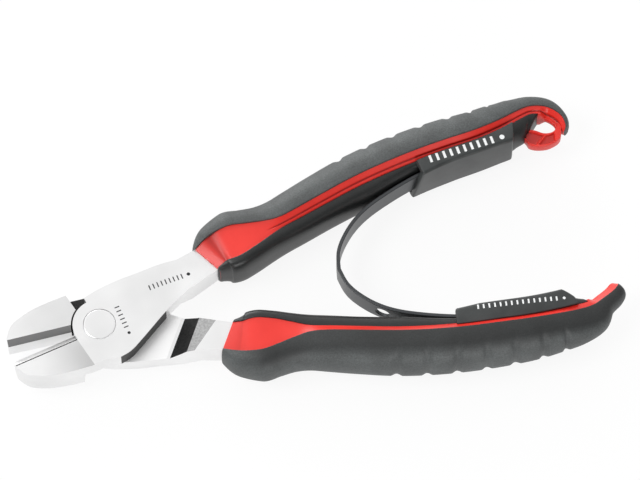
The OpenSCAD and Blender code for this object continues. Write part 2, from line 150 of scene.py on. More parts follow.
def new_object(name: str, points: np.ndarray, faces: list, smooth_deg: float = 32.0,
               marks: np.ndarray | None = None, kinds: np.ndarray | None = None) -> bpy.types.Object:
    """Makes a mesh object at the origin from points in mm, with its faces turned outwards.

    Args:
        name: Name of the piece.
        points: Array of n by 3 points in mm, in the row frame.
        faces: Sequences of point numbers.
        smooth_deg: Edges with a larger angle than this stay sharp.
        marks: Painted shade for each point, which the red and the grey material read as "groove".
        kinds: Material number of each face.

    Returns:
        The object, linked to the scene.
    """
    mesh = bpy.data.meshes.new(name)
    mesh.from_pydata((np.asarray(points) * MM).tolist(), [], [list(map(int, f)) for f in faces])
    if marks is not None:
        groove = mesh.attributes.new("groove", "FLOAT", "POINT")
        groove.data.foreach_set("value", marks.astype(np.float32).ravel())
    if kinds is not None:
        mesh.polygons.foreach_set("material_index", kinds.astype(np.int32))
    obj = bpy.data.objects.new(name, mesh)
    bpy.context.scene.collection.objects.link(obj)
    tidy_mesh(mesh, smooth_deg)
    return obj


def tidy_mesh(mesh: bpy.types.Mesh, smooth_deg: float) -> None:
    """Merges doubles, turns all faces outwards and marks the sharp edges."""
    bm = bmesh.new()
    bm.from_mesh(mesh)
    bmesh.ops.remove_doubles(bm, verts=bm.verts, dist=SAME_POINT)
    bmesh.ops.recalc_face_normals(bm, faces=bm.faces)
    bm.to_mesh(mesh)
    bm.free()
    mesh.shade_smooth()
    mesh.set_sharp_from_angle(angle=math.radians(smooth_deg))


def round_edges(obj: bpy.types.Object, width_mm: float, segments: int, sharp_deg: float) -> None:
    """Gives a copied solid smooth faces, sharp edges and a live bevel on those edges.

    Args:
        obj: The piece.
        width_mm: Width of the bevel.
        segments: Faces across the bevel.
        sharp_deg: Edges with a larger angle than this are sharp.
    """
    bevel = obj.modifiers.new("edges", "BEVEL")
    bevel.width = width_mm * MM
    bevel.segments = segments
    bevel.limit_method = "ANGLE"
    bevel.angle_limit = math.radians(sharp_deg)
    obj.data.shade_smooth()
    obj.data.set_sharp_from_angle(angle=math.radians(sharp_deg))


def bar(name: str, rings: np.ndarray, marks: np.ndarray | None = None,
        second: np.ndarray | None = None) -> bpy.types.Object:
    """Solid from a stack of closed rings, whose ends are closed as strips.

    Args:
        name: Name of the piece.
        rings: Array of rows by columns by 3 points in mm.
        marks: Painted shade for each point, which the red and the grey material read as "groove".
        second: Which points take the second material, on faces with all their corners marked.

    Returns:
        The object.
    """
    rows, columns = rings.shape[:2]
    faces = np.concatenate([tube_faces(rows, columns), strip_caps(rows, columns)])
    kinds = None if second is None else second.ravel()[faces].all(1)
    return new_object(name, rings.reshape(-1, 3), faces.tolist(), marks=marks, kinds=kinds)


# ---------------------------------------------------------------------------------------------
# Materials
# ---------------------------------------------------------------------------------------------

def linear(code: str, alpha: float = 1.0) -> tuple[float, float, float, float]:
    """Turns an sRGB hex colour into the linear colour that a shader reads.

    Args:
        code: Colour such as "#e23a30".
        alpha: Its opacity.

    Returns:
        Red, green, blue and alpha.
    """
    parts = [int(code[i:i + 2], 16) / 255 for i in (1, 3, 5)]
    red, green, blue = (c / 12.92 if c <= 0.04045 else ((c + 0.055) / 1.055) ** 2.4 for c in parts)
    return red, green, blue, alpha


def add(tree: bpy.types.NodeTree, kind: str, settings: dict | None = None,
        **inputs: object) -> bpy.types.Node:
    """Adds a node, sets its properties and fills or links its inputs.

    Args:
        tree: Node tree that gets the node.
        kind: The node's type name.
        settings: Property names and values.
        **inputs: Input names, or i0, i1 and so on for an input by its number. Spaces are written
            as underscores. A socket is linked, and anything else is set as the input's value.

    Returns:
        The node.
    """
    node = tree.nodes.new(kind)
    for key, value in (settings or {}).items():
        setattr(node, key, value)
    for key, value in inputs.items():
        numbered = key[0] == "i" and key[1:].isdigit()
        socket = node.inputs[int(key[1:])] if numbered else node.inputs[key.replace("_", " ")]
        if isinstance(value, bpy.types.NodeSocket):
            tree.links.new(value, socket)
        else:
            socket.default_value = value
    return node


def ramp(tree: bpy.types.NodeTree, value: bpy.types.NodeSocket, stops: list) -> bpy.types.NodeSocket:
    """Colour ramp through the given places.

    Args:
        tree: Node tree that gets the node.
        value: What the ramp reads.
        stops: Pairs of a place and a hex colour.

    Returns:
        The ramp's colour.
    """
    node = add(tree, "ShaderNodeValToRGB", Fac=value)
    band = node.color_ramp
    while len(band.elements) < len(stops):
        band.elements.new(0.5)
    for element, (place, code) in zip(band.elements, stops):
        element.position = place
        element.color = linear(code)
    return node.outputs["Color"]


@dataclass(frozen=True)
class Finish:
    """What every finish has: its name, base colour, roughness and metal share."""

    name: str
    colour: str
    roughness: float
    metallic: float = 0.0

    def start(self) -> tuple[bpy.types.Material, bpy.types.NodeTree, bpy.types.Node,
                             bpy.types.NodeSocket]:
        """Starts a material.

        Returns:
            The material, its tree, its shader and the object coordinates.
        """
        material = bpy.data.materials.new(self.name)
        material.use_nodes = True
        tree = material.node_tree
        shader = tree.nodes["Principled BSDF"]
        shader.inputs["Base Color"].default_value = linear(self.colour)
        shader.inputs["Roughness"].default_value = self.roughness
        shader.inputs["Metallic"].default_value = self.metallic
        place = add(tree, "ShaderNodeTexCoord").outputs["Object"]
        return material, tree, shader, place

    def mottled(self, tree: bpy.types.NodeTree, place: bpy.types.NodeSocket, size_mm: float,
                low: str, high: str) -> bpy.types.NodeSocket:
        """Soft cloudy colour between two tones, with clouds of the given size."""
        cloud = add(tree, "ShaderNodeTexNoise", Vector=place, Scale=1 / (size_mm * MM), Detail=4.0)
        return ramp(tree, cloud.outputs["Fac"], [(0.35, low), (0.65, high)])


@dataclass(frozen=True)
class SoftMoulding(Finish):
    """Thermoplastic elastomer, injection moulded in a spark-eroded mould. The eye sees a dry
    grey skin with a fine grit outside, and a smoother black one towards the fingers."""

    low: str = "#474a4a"
    high: str = "#555959"
    # Colour of the painted shade beside the band
    painted_shade_colour: str = "#161717"
    grit_mm: float = 0.45
    grit_height: float = 0.5

    def build(self) -> bpy.types.Material:
        """Makes the material."""
        material, tree, shader, place = self.start()
        colour = self.mottled(tree, place, 9.0, self.low, self.high)
        # The real grit is about 0.1 mm, too fine to show, so it is drawn at 0.45 mm
        grit = add(tree, "ShaderNodeTexNoise", Vector=place, Scale=1 / (self.grit_mm * MM), Detail=3.0)
        grey = ramp(tree, grit.outputs["Fac"], [(0.3, "#b0b0b0"), (0.7, "#ffffff")])
        mixed = add(tree, "ShaderNodeMix", {"data_type": "RGBA", "blend_type": "MULTIPLY"}, i0=0.8,
                    i6=colour, i7=grey)
        # Painted shade: beside the band the skin is drawn darker, where the "groove" attribute marks it
        mask = add(tree, "ShaderNodeAttribute", {"attribute_name": "groove"}).outputs["Fac"]
        toned = add(tree, "ShaderNodeMix", {"data_type": "RGBA"}, i0=mask, i6=mixed.outputs[2],
                    i7=linear(self.painted_shade_colour))
        tree.links.new(toned.outputs[2], shader.inputs["Base Color"])
        bump = add(tree, "ShaderNodeBump", Strength=self.grit_height, Distance=0.12 * MM,
                   Height=grit.outputs["Fac"])
        tree.links.new(bump.outputs["Normal"], shader.inputs["Normal"])
        return material


@dataclass(frozen=True)
class RedMoulding(Finish):
    """Polypropylene, injection moulded in a satin mould. The eye sees a strong red with soft
    highlights, and painted shade darkening its fine parting groove, its mouth and the valley behind it."""

    # Colour of the painted shade in the groove line, at the mouth and in the valley
    groove: str = "#8a0d08"

    def build(self) -> bpy.types.Material:
        """Makes the material."""
        material, tree, shader, place = self.start()
        body = self.mottled(tree, place, 14.0, "#d8261c", "#e23026")
        # Painted shade: darker red where the "groove" attribute marks the groove line, the mouth and the
        # valley
        mask = add(tree, "ShaderNodeAttribute", {"attribute_name": "groove"}).outputs["Fac"]
        colour = add(tree, "ShaderNodeMix", {"data_type": "RGBA"}, i0=mask, i6=body, i7=linear(self.groove))
        tree.links.new(colour.outputs[2], shader.inputs["Base Color"])
        grain = add(tree, "ShaderNodeTexNoise", Vector=place, Scale=1 / (0.5 * MM), Detail=2.0)
        bump = add(tree, "ShaderNodeBump", Strength=0.12, Distance=0.05 * MM, Height=grain.outputs["Fac"])
        tree.links.new(bump.outputs["Normal"], shader.inputs["Normal"])
        return material


@dataclass(frozen=True)
class TickRow:
    """A printed row of plain ticks with a dot at its end. Lengths are in mm."""

    start: tuple[float, float]
    angle_deg: float
    pitch: float
    count: int
    height: float
    width: float
    lowest: float
    highest: float = 20.0

    def mask(self, tree: bpy.types.NodeTree, place: bpy.types.NodeSocket) -> bpy.types.NodeSocket:
        """Makes a mask that is 1 on the ticks and on the dot and 0 elsewhere.

        Args:
            tree: Node tree that gets the nodes.
            place: Object coordinates.

        Returns:
            The mask's value.
        """
        def math_node(kind: str, *values: object) -> bpy.types.NodeSocket:
            """One step of the mask's arithmetic."""
            numbered = {f"i{i}": value for i, value in enumerate(values)}
            return add(tree, "ShaderNodeMath", {"operation": kind}, **numbered).outputs[0]

        local = add(tree, "ShaderNodeMapping", {"vector_type": "TEXTURE"}, Vector=place,
                    Location=(self.start[0] * MM, self.start[1] * MM, 0),
                    Rotation=(0, 0, math.radians(self.angle_deg)), Scale=(MM, MM, MM))
        u, v, z = add(tree, "ShaderNodeSeparateXYZ", Vector=local.outputs[0]).outputs
        length = self.pitch * self.count
        inside = math_node("MULTIPLY", math_node("COMPARE", u, length / 2, length / 2),
                           math_node("COMPARE", v, 0.0, self.height / 2))
        along = math_node("FRACT", math_node("DIVIDE", u, self.pitch))
        tick = math_node("LESS_THAN", along, self.width / self.pitch)
        flat = add(tree, "ShaderNodeCombineXYZ", X=u, Y=v)
        far = add(tree, "ShaderNodeVectorMath", {"operation": "DISTANCE"}, i0=flat.outputs[0],
                  i1=(length + self.height * 0.6, 0, 0))
        dot = math_node("LESS_THAN", far.outputs["Value"], self.height * 0.32)
        both = math_node("MAXIMUM", math_node("MULTIPLY", inside, tick), dot)
        on_face = math_node("COMPARE", z, (self.lowest + self.highest) / 2,
                            (self.highest - self.lowest) / 2)
        return math_node("MULTIPLY", both, on_face)


def printed(tree: bpy.types.NodeTree, place: bpy.types.NodeSocket, shader: bpy.types.Node,
            body: bpy.types.NodeSocket, rows: tuple[TickRow, ...], ink: str) -> None:
    """Lays rows of ticks over a colour and links the result to the shader.

    Args:
        tree: Node tree that gets the nodes.
        place: Object coordinates.
        shader: The shader that gets the colour.
        body: The colour under the print.
        rows: Rows of ticks.
        ink: Colour of the print.
    """
    for row in rows:
        body = add(tree, "ShaderNodeMix", {"data_type": "RGBA"}, i0=row.mask(tree, place), i6=body,
                   i7=linear(ink)).outputs[2]
    tree.links.new(body, shader.inputs["Base Color"])


@dataclass(frozen=True)
class SocketMoulding(Finish):
    """Glass-filled nylon, injection moulded. The eye sees a dark smooth grey with a satin gloss,
    and a row of pale printed ticks and a dot."""

    rows: tuple[TickRow, ...] = ()

    def build(self) -> bpy.types.Material:
        """Makes the material."""
        material, tree, shader, place = self.start()
        body = self.mottled(tree, place, 6.0, "#2e3131", "#393c3c")
        printed(tree, place, shader, body, self.rows, "#e8eaea")
        grain = add(tree, "ShaderNodeTexNoise", Vector=place, Scale=1 / (0.35 * MM), Detail=3.0)
        bump = add(tree, "ShaderNodeBump", Strength=0.18, Distance=0.05 * MM, Height=grain.outputs["Fac"])
        tree.links.new(bump.outputs["Normal"], shader.inputs["Normal"])
        return material


@dataclass(frozen=True)
class GroundSteel(Finish):
    """Chrome vanadium steel, ground and satin polished. The eye sees a bright soft sheen drawn out
    along the grinding lines and faint darker clouds; where a fade is set, painted shade darkens one end."""

    line_mm: float = 0.25
    line_angle_deg: float = 33.0
    line_depth: float = 0.12
    spread: float = 0.05
    fade_from: tuple[float, float] = (0.0, 0.0)
    fade_to: tuple[float, float] = (1.0, 0.0)
    fade_low: float = 1.0
    rows: tuple[TickRow, ...] = ()

    def build(self) -> bpy.types.Material:
        """Makes the material."""
        material, tree, shader, place = self.start()
        turned = add(tree, "ShaderNodeMapping", Vector=place,
                     Rotation=(0, 0, math.radians(-self.line_angle_deg)),
                     Scale=(1 / (14 * MM), 1 / (self.line_mm * MM), 1 / (self.line_mm * MM)))
        lines = add(tree, "ShaderNodeTexNoise", Vector=turned.outputs["Vector"], Scale=1.0, Detail=3.0)
        rough = add(tree, "ShaderNodeMapRange", Value=lines.outputs["Fac"],
                    To_Min=self.roughness - self.spread, To_Max=self.roughness + self.spread)
        tree.links.new(rough.outputs["Result"], shader.inputs["Roughness"])
        cloud = add(tree, "ShaderNodeTexNoise", Vector=place, Scale=1 / (16 * MM), Detail=2.0)
        tone = ramp(tree, cloud.outputs["Fac"], [(0.3, "#f2f2f2"), (0.7, "#ffffff")])
        colour = add(tree, "ShaderNodeMix", {"data_type": "RGBA", "blend_type": "MULTIPLY"}, i0=1.0,
                     i6=linear(self.colour), i7=tone).outputs[2]
        # Painted shade: the colour darkens along a line from fade_to back to fade_from, down to fade_low
        if self.fade_low < 1:
            run = np.subtract(self.fade_to, self.fade_from)
            step = run / run.dot(run) / MM
            along = add(tree, "ShaderNodeVectorMath", {"operation": "DOT_PRODUCT"}, i0=place,
                        i1=(step[0], step[1], 0))
            start = float(np.dot(self.fade_from, step) * MM)
            share = add(tree, "ShaderNodeMapRange", Value=along.outputs["Value"], From_Min=start,
                        From_Max=start + 1, To_Min=self.fade_low, To_Max=1.0).outputs[0]
            grey = add(tree, "ShaderNodeCombineColor", Red=share, Green=share, Blue=share)
            colour = add(tree, "ShaderNodeMix", {"data_type": "RGBA", "blend_type": "MULTIPLY"}, i0=1.0,
                         i6=colour, i7=grey.outputs[0]).outputs[2]
        printed(tree, place, shader, colour, self.rows, "#3a3a3c")
        bump = add(tree, "ShaderNodeBump", Strength=self.line_depth, Distance=0.02 * MM,
                   Height=lines.outputs["Fac"])
        tree.links.new(bump.outputs["Normal"], shader.inputs["Normal"])
        return material


@dataclass(frozen=True)
class ForgedSteel(Finish):
    """The same steel as it leaves the forging die. The eye sees a dull grey with a sandy grain."""

    low: str = "#8d8d8d"
    high: str = "#b5b5b5"

    def build(self) -> bpy.types.Material:
        """Makes the material."""
        material, tree, shader, place = self.start()
        grain = add(tree, "ShaderNodeTexNoise", Vector=place, Scale=1 / (0.6 * MM), Detail=5.0)
        colour = ramp(tree, grain.outputs["Fac"], [(0.35, self.low), (0.65, self.high)])
        tree.links.new(colour, shader.inputs["Base Color"])
        bump = add(tree, "ShaderNodeBump", Strength=0.5, Distance=0.12 * MM, Height=grain.outputs["Fac"])
        tree.links.new(bump.outputs["Normal"], shader.inputs["Normal"])
        return material


PLATE_TICKS = TickRow((6.3, 4.2), -80.0, 1.4, 6, 1.5, 0.35, 10.5)
SHANK_TICKS = TickRow((17.2, 7.7), 8.0, 1.3, 9, 1.7, 0.35, 8.0)
UPPER_TICKS = TickRow((109.5, 26.4), 4.5, 2.2, 10, 2.4, 0.8, 11.5)
LOWER_TICKS = TickRow((110.6, -24.3), -7.4, 1.7, 15, 1.4, 0.5, 11.5)
GROUND = GroundSteel("ground_chrome_vanadium_steel", "#f0f0f0", 0.34, 0.92, rows=(PLATE_TICKS, SHANK_TICKS))
# Painted shade: both jaws are drawn darker towards fade_from, near the joint
FRONT_JAW = GroundSteel("ground_steel_of_the_wide_jaw", "#f0f0f0", 0.34, 0.92, line_angle_deg=10.0,
                        fade_from=(-5.0, -8.0), fade_to=(-19.0, -5.0), fade_low=0.68)
BACK_JAW = GroundSteel("ground_steel_of_the_notched_jaw", "#ececec", 0.34, 0.92, line_angle_deg=10.0,
                       fade_from=(-13.0, 7.0), fade_to=(-24.0, 3.0), fade_low=0.93)
# Painted shade: the notched jaw's cutting bevel is the same steel drawn dark grey
CUTTING = GroundSteel("cutting_bevel_painted_shade", "#747474", 0.4, 0.92, line_angle_deg=90.0)
# Painted shade: dark steel drawn where the levers' gaps, recesses, walls and ramp lie in shade
SHADED = ForgedSteel("painted_shade_dark_steel", "#2c2c2c", 0.42, 0.6, "#1c1c1c", "#303030")
FORGED = ForgedSteel("as_forged_grey_steel", "#c0c0c0", 0.5, 0.85, "#9c9c9c", "#b8b8b8")
# Painted shade: the lap is drawn slightly darker towards fade_from
LAPPED = GroundSteel("lapped_steel_of_the_joint", "#ffffff", 0.5, 0.5,
                     fade_from=(11.0, -8.0), fade_to=(20.0, -9.5), fade_low=0.95)
RIVET = GroundSteel("ground_rivet_steel", "#f2f2f2", 0.3, 0.92, line_angle_deg=70.0)
SPRING = GroundSteel("black_oxide_spring_steel", "#4c4e50", 0.36, 0.75, line_angle_deg=0.0)
RED = RedMoulding("moulded_red_polypropylene", "#dc281e", 0.36)
SKIN = SoftMoulding("moulded_grey_elastomer", "#464949", 0.55)
INNER_SKIN = SoftMoulding("moulded_black_elastomer", "#202222", 0.4, low="#1b1d1d", high="#222424",
                          grit_height=0.25)
SOCKET = SocketMoulding("moulded_dark_nylon", "#343737", 0.38, rows=(UPPER_TICKS, LOWER_TICKS))


def dress(obj: bpy.types.Object, *finishes: bpy.types.Material) -> None:
    """Gives an object its materials, in the order of its face numbers."""
    for finish in finishes:
        obj.data.materials.append(finish)


# ---------------------------------------------------------------------------------------------
# Handles
# ---------------------------------------------------------------------------------------------

class HandleEnd(Enum):
    """How a handle ends: in a closed tether eye, or in an open hook."""

    EYE = "upper"
    HOOK = "lower"


@dataclass
class HandleForm:
    """Lines and sections of one grip, drawn for the upper handle about the joint's middle plane.

    Stations number the knots below. At each station the grip has a parting band, an outward
    and an inward reach from it, and a half thickness on each side, all in mm.
    """

    end: HandleEnd
    grip_out: float = 11.81
    grip_in: float = 8.8
    grip_t: float = 19.6
    grip_in_t: float = 14.0
    band_half: float = 1.25
    face_half: float = 5.2
    mouth_deg: float = 33.0
    skin_end: float = field(init=False)
    end_slant: float = field(init=False)
    socket_slant: float = field(init=False)
    tip_len: float = 0.6
    groove_first: float = 8.0
    groove_pitch: float = 8.5
    groove_count: int = 7
    groove_depth: float = field(init=False)
    overlap: float = field(init=False)
    groove_w: float = 3.4
    socket_in: float = 6.7
    socket_wall: float = 1.25
    socket_clear: float = 0.35
    spring_t: float = 1.1
    socket_from: float = field(init=False)
    socket_to: float = field(init=False)
    band_knots: np.ndarray = field(init=False)
    out_share: np.ndarray = field(init=False)
    in_share: np.ndarray = field(init=False)
    thick_share: np.ndarray = field(init=False)
    in_thick_share: np.ndarray = field(init=False)
    face_share: np.ndarray = field(init=False)
    last: int = field(init=False)
    tip_from: float = field(init=False)

    def __post_init__(self) -> None:
        """Joins the knots that both handles share with those of this handle's end."""
        eye = self.end is HandleEnd.EYE
        self.socket_from, self.socket_to = (103.6, 137.6) if eye else (104.5, 140.6)
        self.groove_depth, self.overlap = (0.8, 0.0) if eye else (1.0, 0.8)
        self.skin_end, self.end_slant, self.socket_slant = (15.6, 0.45, 0.65) if eye else (14.95, 0.5, 0.1)
        shared = [[36.3, 13], [40.5, 14.9], [45.5, 15.7], [50.5, 16.3], [55.5, 17], [60.5, 17.9],
                  [66.5, 19.4], [75.5, 22], [85.5, 24.8], [95.5, 27], [105.5, 28.7], [115.5, 29.9],
                  [125.5, 30.9]]
        eye_end = [[133.5, 32.7], [139.5, 34.9], [144.2, 36.2], [148.8, 35], [151.8, 31.8], [152.3, 28]]
        hook_end = [[133.5, 31.1], [139.5, 30.7], [144.5, 29.9], [148.5, 28.2], [151.7, 26.6],
                    [154.2, 24.6]]
        self.band_knots = np.array(shared + (eye_end if eye else hook_end), float)
        self.out_share = np.array([0.5, 0.83, 1, 0.92, 0.84, 0.83, 0.87, 0.91, 0.94, 0.95, 0.94, 0.92, 0.87]
                                  + ([0.8, 0.66, 0.5, 0.42, 0.28, 0.19] if eye
                                     else [0.82, 0.81, 0.72, 0.47, 0.42, 0.35]))
        self.in_share = np.array([0.69, 0.93, 1, 0.89, 0.75, 0.66, 0.63, 0.61, 0.63, 0.67, 0.7, 0.72, 0.74]
                                 + ([0.62, 0.7, 0.78, 0.8, 0.8, 0.8] if eye
                                    else [0.62, 0.5, 0.36, 0.36, 0.36, 0.36]))
        self.thick_share = np.array([0.53, 0.71, 0.78, 0.79, 0.82, 0.88, 0.94, 0.98, 1, 1, 1, 1, 0.97, 0.86,
                                     0.68, 0.54, 0.48, 0.44, 0.4])
        self.in_thick_share = np.array([0.72, 0.96, 1.06, 1.07, 1.05, 1, 0.98, 0.98, 0.98, 0.98, 0.98, 0.98,
                                        0.96, 0.9, 0.8, 0.66, 0.58, 0.52, 0.48])
        self.face_share = np.array([0.88, 0.94, 1, 0.79, 0.52, 0.29, 0.24])
        self.last = len(self.band_knots) - 1
        self.tip_from = self.last - self.tip_len

    def tip(self, t: np.ndarray) -> np.ndarray:
        """Share of the full size, which falls as a quarter ellipse over the last stretch."""
        fall = np.clip((t - self.tip_from) / (1.03 * self.tip_len), 0, None)
        return np.sqrt(np.maximum(1 - fall ** 2, 0.02))

    def heading(self, t: np.ndarray) -> np.ndarray:
        """Direction of the band in radians, turned square to the mouth at the front."""
        ahead, behind = np.minimum(t + 0.05, self.last), np.maximum(t - 0.05, 0)
        d = spline(self.band_knots, ahead) - spline(self.band_knots, behind)
        turn = math.radians(self.mouth_deg) - math.atan2(1.9, 4.2)
        free = np.arctan2(d[:, 1], d[:, 0]) + turn * np.clip(1 - t / 1.8, 0, 1) ** 2
        return np.where(t < 0.01, math.radians(self.mouth_deg), free)

    def band(self, t: np.ndarray) -> np.ndarray:
        """Half width of the red band."""
        wide = np.maximum(spline(self.face_share, np.clip(t, 0, 6)), self.band_half / self.face_half)
        return np.where(t < 6, self.face_half * wide, self.band_half) * self.tip(t)

    def band_in(self, t: np.ndarray) -> np.ndarray:
        """Distance from the band's middle to the inner skin's lip, which overlaps the band past
        the face near the mouth."""
        return self.band(t) - self.overlap * np.clip((t - 3) / 3, 0, 1) * self.tip(t)

    def reach_out(self, t: np.ndarray) -> np.ndarray:
        """Outward reach from the band's middle."""
        return self.grip_out * spline(self.out_share, t) * self.tip(t)

    def half_out(self, t: np.ndarray) -> np.ndarray:
        """Half thickness at the band's outer edge."""
        return self.grip_t / 2 * spline(self.thick_share, t) * self.tip(t)

    def half_in(self, t: np.ndarray) -> np.ndarray:
        """Half thickness at the band's inner edge."""
        return self.grip_in_t / 2 * spline(self.in_thick_share, t) * self.tip(t)

    def station(self, x: float) -> float:
        """Station whose band point lies at a distance x along the tool, read from a fine table."""
        t = np.linspace(0, 16, 3201)
        return float(np.interp(x, spline(self.band_knots, t)[:, 0], t))

    def inner_power(self, t: np.ndarray) -> np.ndarray:
        """Exponent of the inner section, boxy as far as the socket and round past it."""
        return 0.62 + 0.38 * np.clip((t - self.station(self.socket_to)) / 1.0, 0, 1)

    def lean(self, t: np.ndarray) -> np.ndarray:
        """How far the inner side leans towards the jaws for each mm inwards. It grows over the
        socket's last half to the slant of the socket's end and changes to that of the skin's end."""
        t1 = self.station(self.socket_to)
        past = np.clip((t - t1) / (self.skin_end - t1), 0, 1)
        slant = self.socket_slant + (self.end_slant - self.socket_slant) * past
        return np.clip(1 + (t - t1) / 2.0, 0, 1) * slant

    def reach_in(self, t: np.ndarray) -> np.ndarray:
        """Inward reach of the inner skin, less under the spring and its socket."""
        free = self.grip_in * spline(self.in_share, t)
        recess = self.socket_in - self.socket_wall - self.spring_t - 2 * self.socket_clear
        ramp_up = 1.2 * np.maximum(self.station(self.socket_from) - t, 0)
        return np.where(t > self.station(self.socket_to), free, np.minimum(free, recess + ramp_up))

    def groove(self, t: np.ndarray, a: np.ndarray) -> np.ndarray:
        """Depth of the finger grooves: a smooth dip at each pitch, which fades out towards the
        front and back faces.

        Args:
            t: Stations, one for each ring.
            a: Section angles, one for each point of a ring.

        Returns:
            Array of rings by points.
        """
        at = self.groove_first + np.arange(self.groove_count) * self.groove_pitch / 10
        s = np.abs(t[:, None] - at[None]) * 10 / (self.groove_w / 2)
        dip = np.max(np.where(s < 1, (1 - s ** 2) ** 2, 0), 1)
        return self.groove_depth * dip[:, None] * np.clip(np.cos(a * 1.15), 0, None)[None]

    def place(self, t: np.ndarray, rings: np.ndarray, lean: np.ndarray | None = None) -> np.ndarray:
        """Stands rings of outward distance and height square to the band and turns them into the
        row frame: up for the upper handle, turned over about the tool's axis for the lower one.

        Args:
            t: Stations.
            rings: Array of rings by points by 2.
            lean: How far the inner side leans forward for each mm inwards, for each ring.

        Returns:
            Array of rings by points by 3, in mm.
        """
        p = spline(self.band_knots, t)
        a = self.heading(t)[:, None]
        out, high = rings[..., 0], rings[..., 1]
        shift = 0 if lean is None else lean[:, None] * np.minimum(out, 0)
        x = p[:, :1] - out * np.sin(a) + shift * np.cos(a)
        y = p[:, 1:] + out * np.cos(a) + shift * np.sin(a)
        side = 1 if self.end is HandleEnd.EYE else -1
        return np.stack([x, side * y, MID + side * high], -1)


def edge_roundness(distance: np.ndarray, radius: float) -> np.ndarray:
    """How far a surface draws in near a rounded end: a quarter circle of the given radius."""
    s = np.clip(1 - distance / radius, 0, 1)
    return radius * (1 - np.sqrt(1 - s ** 2))


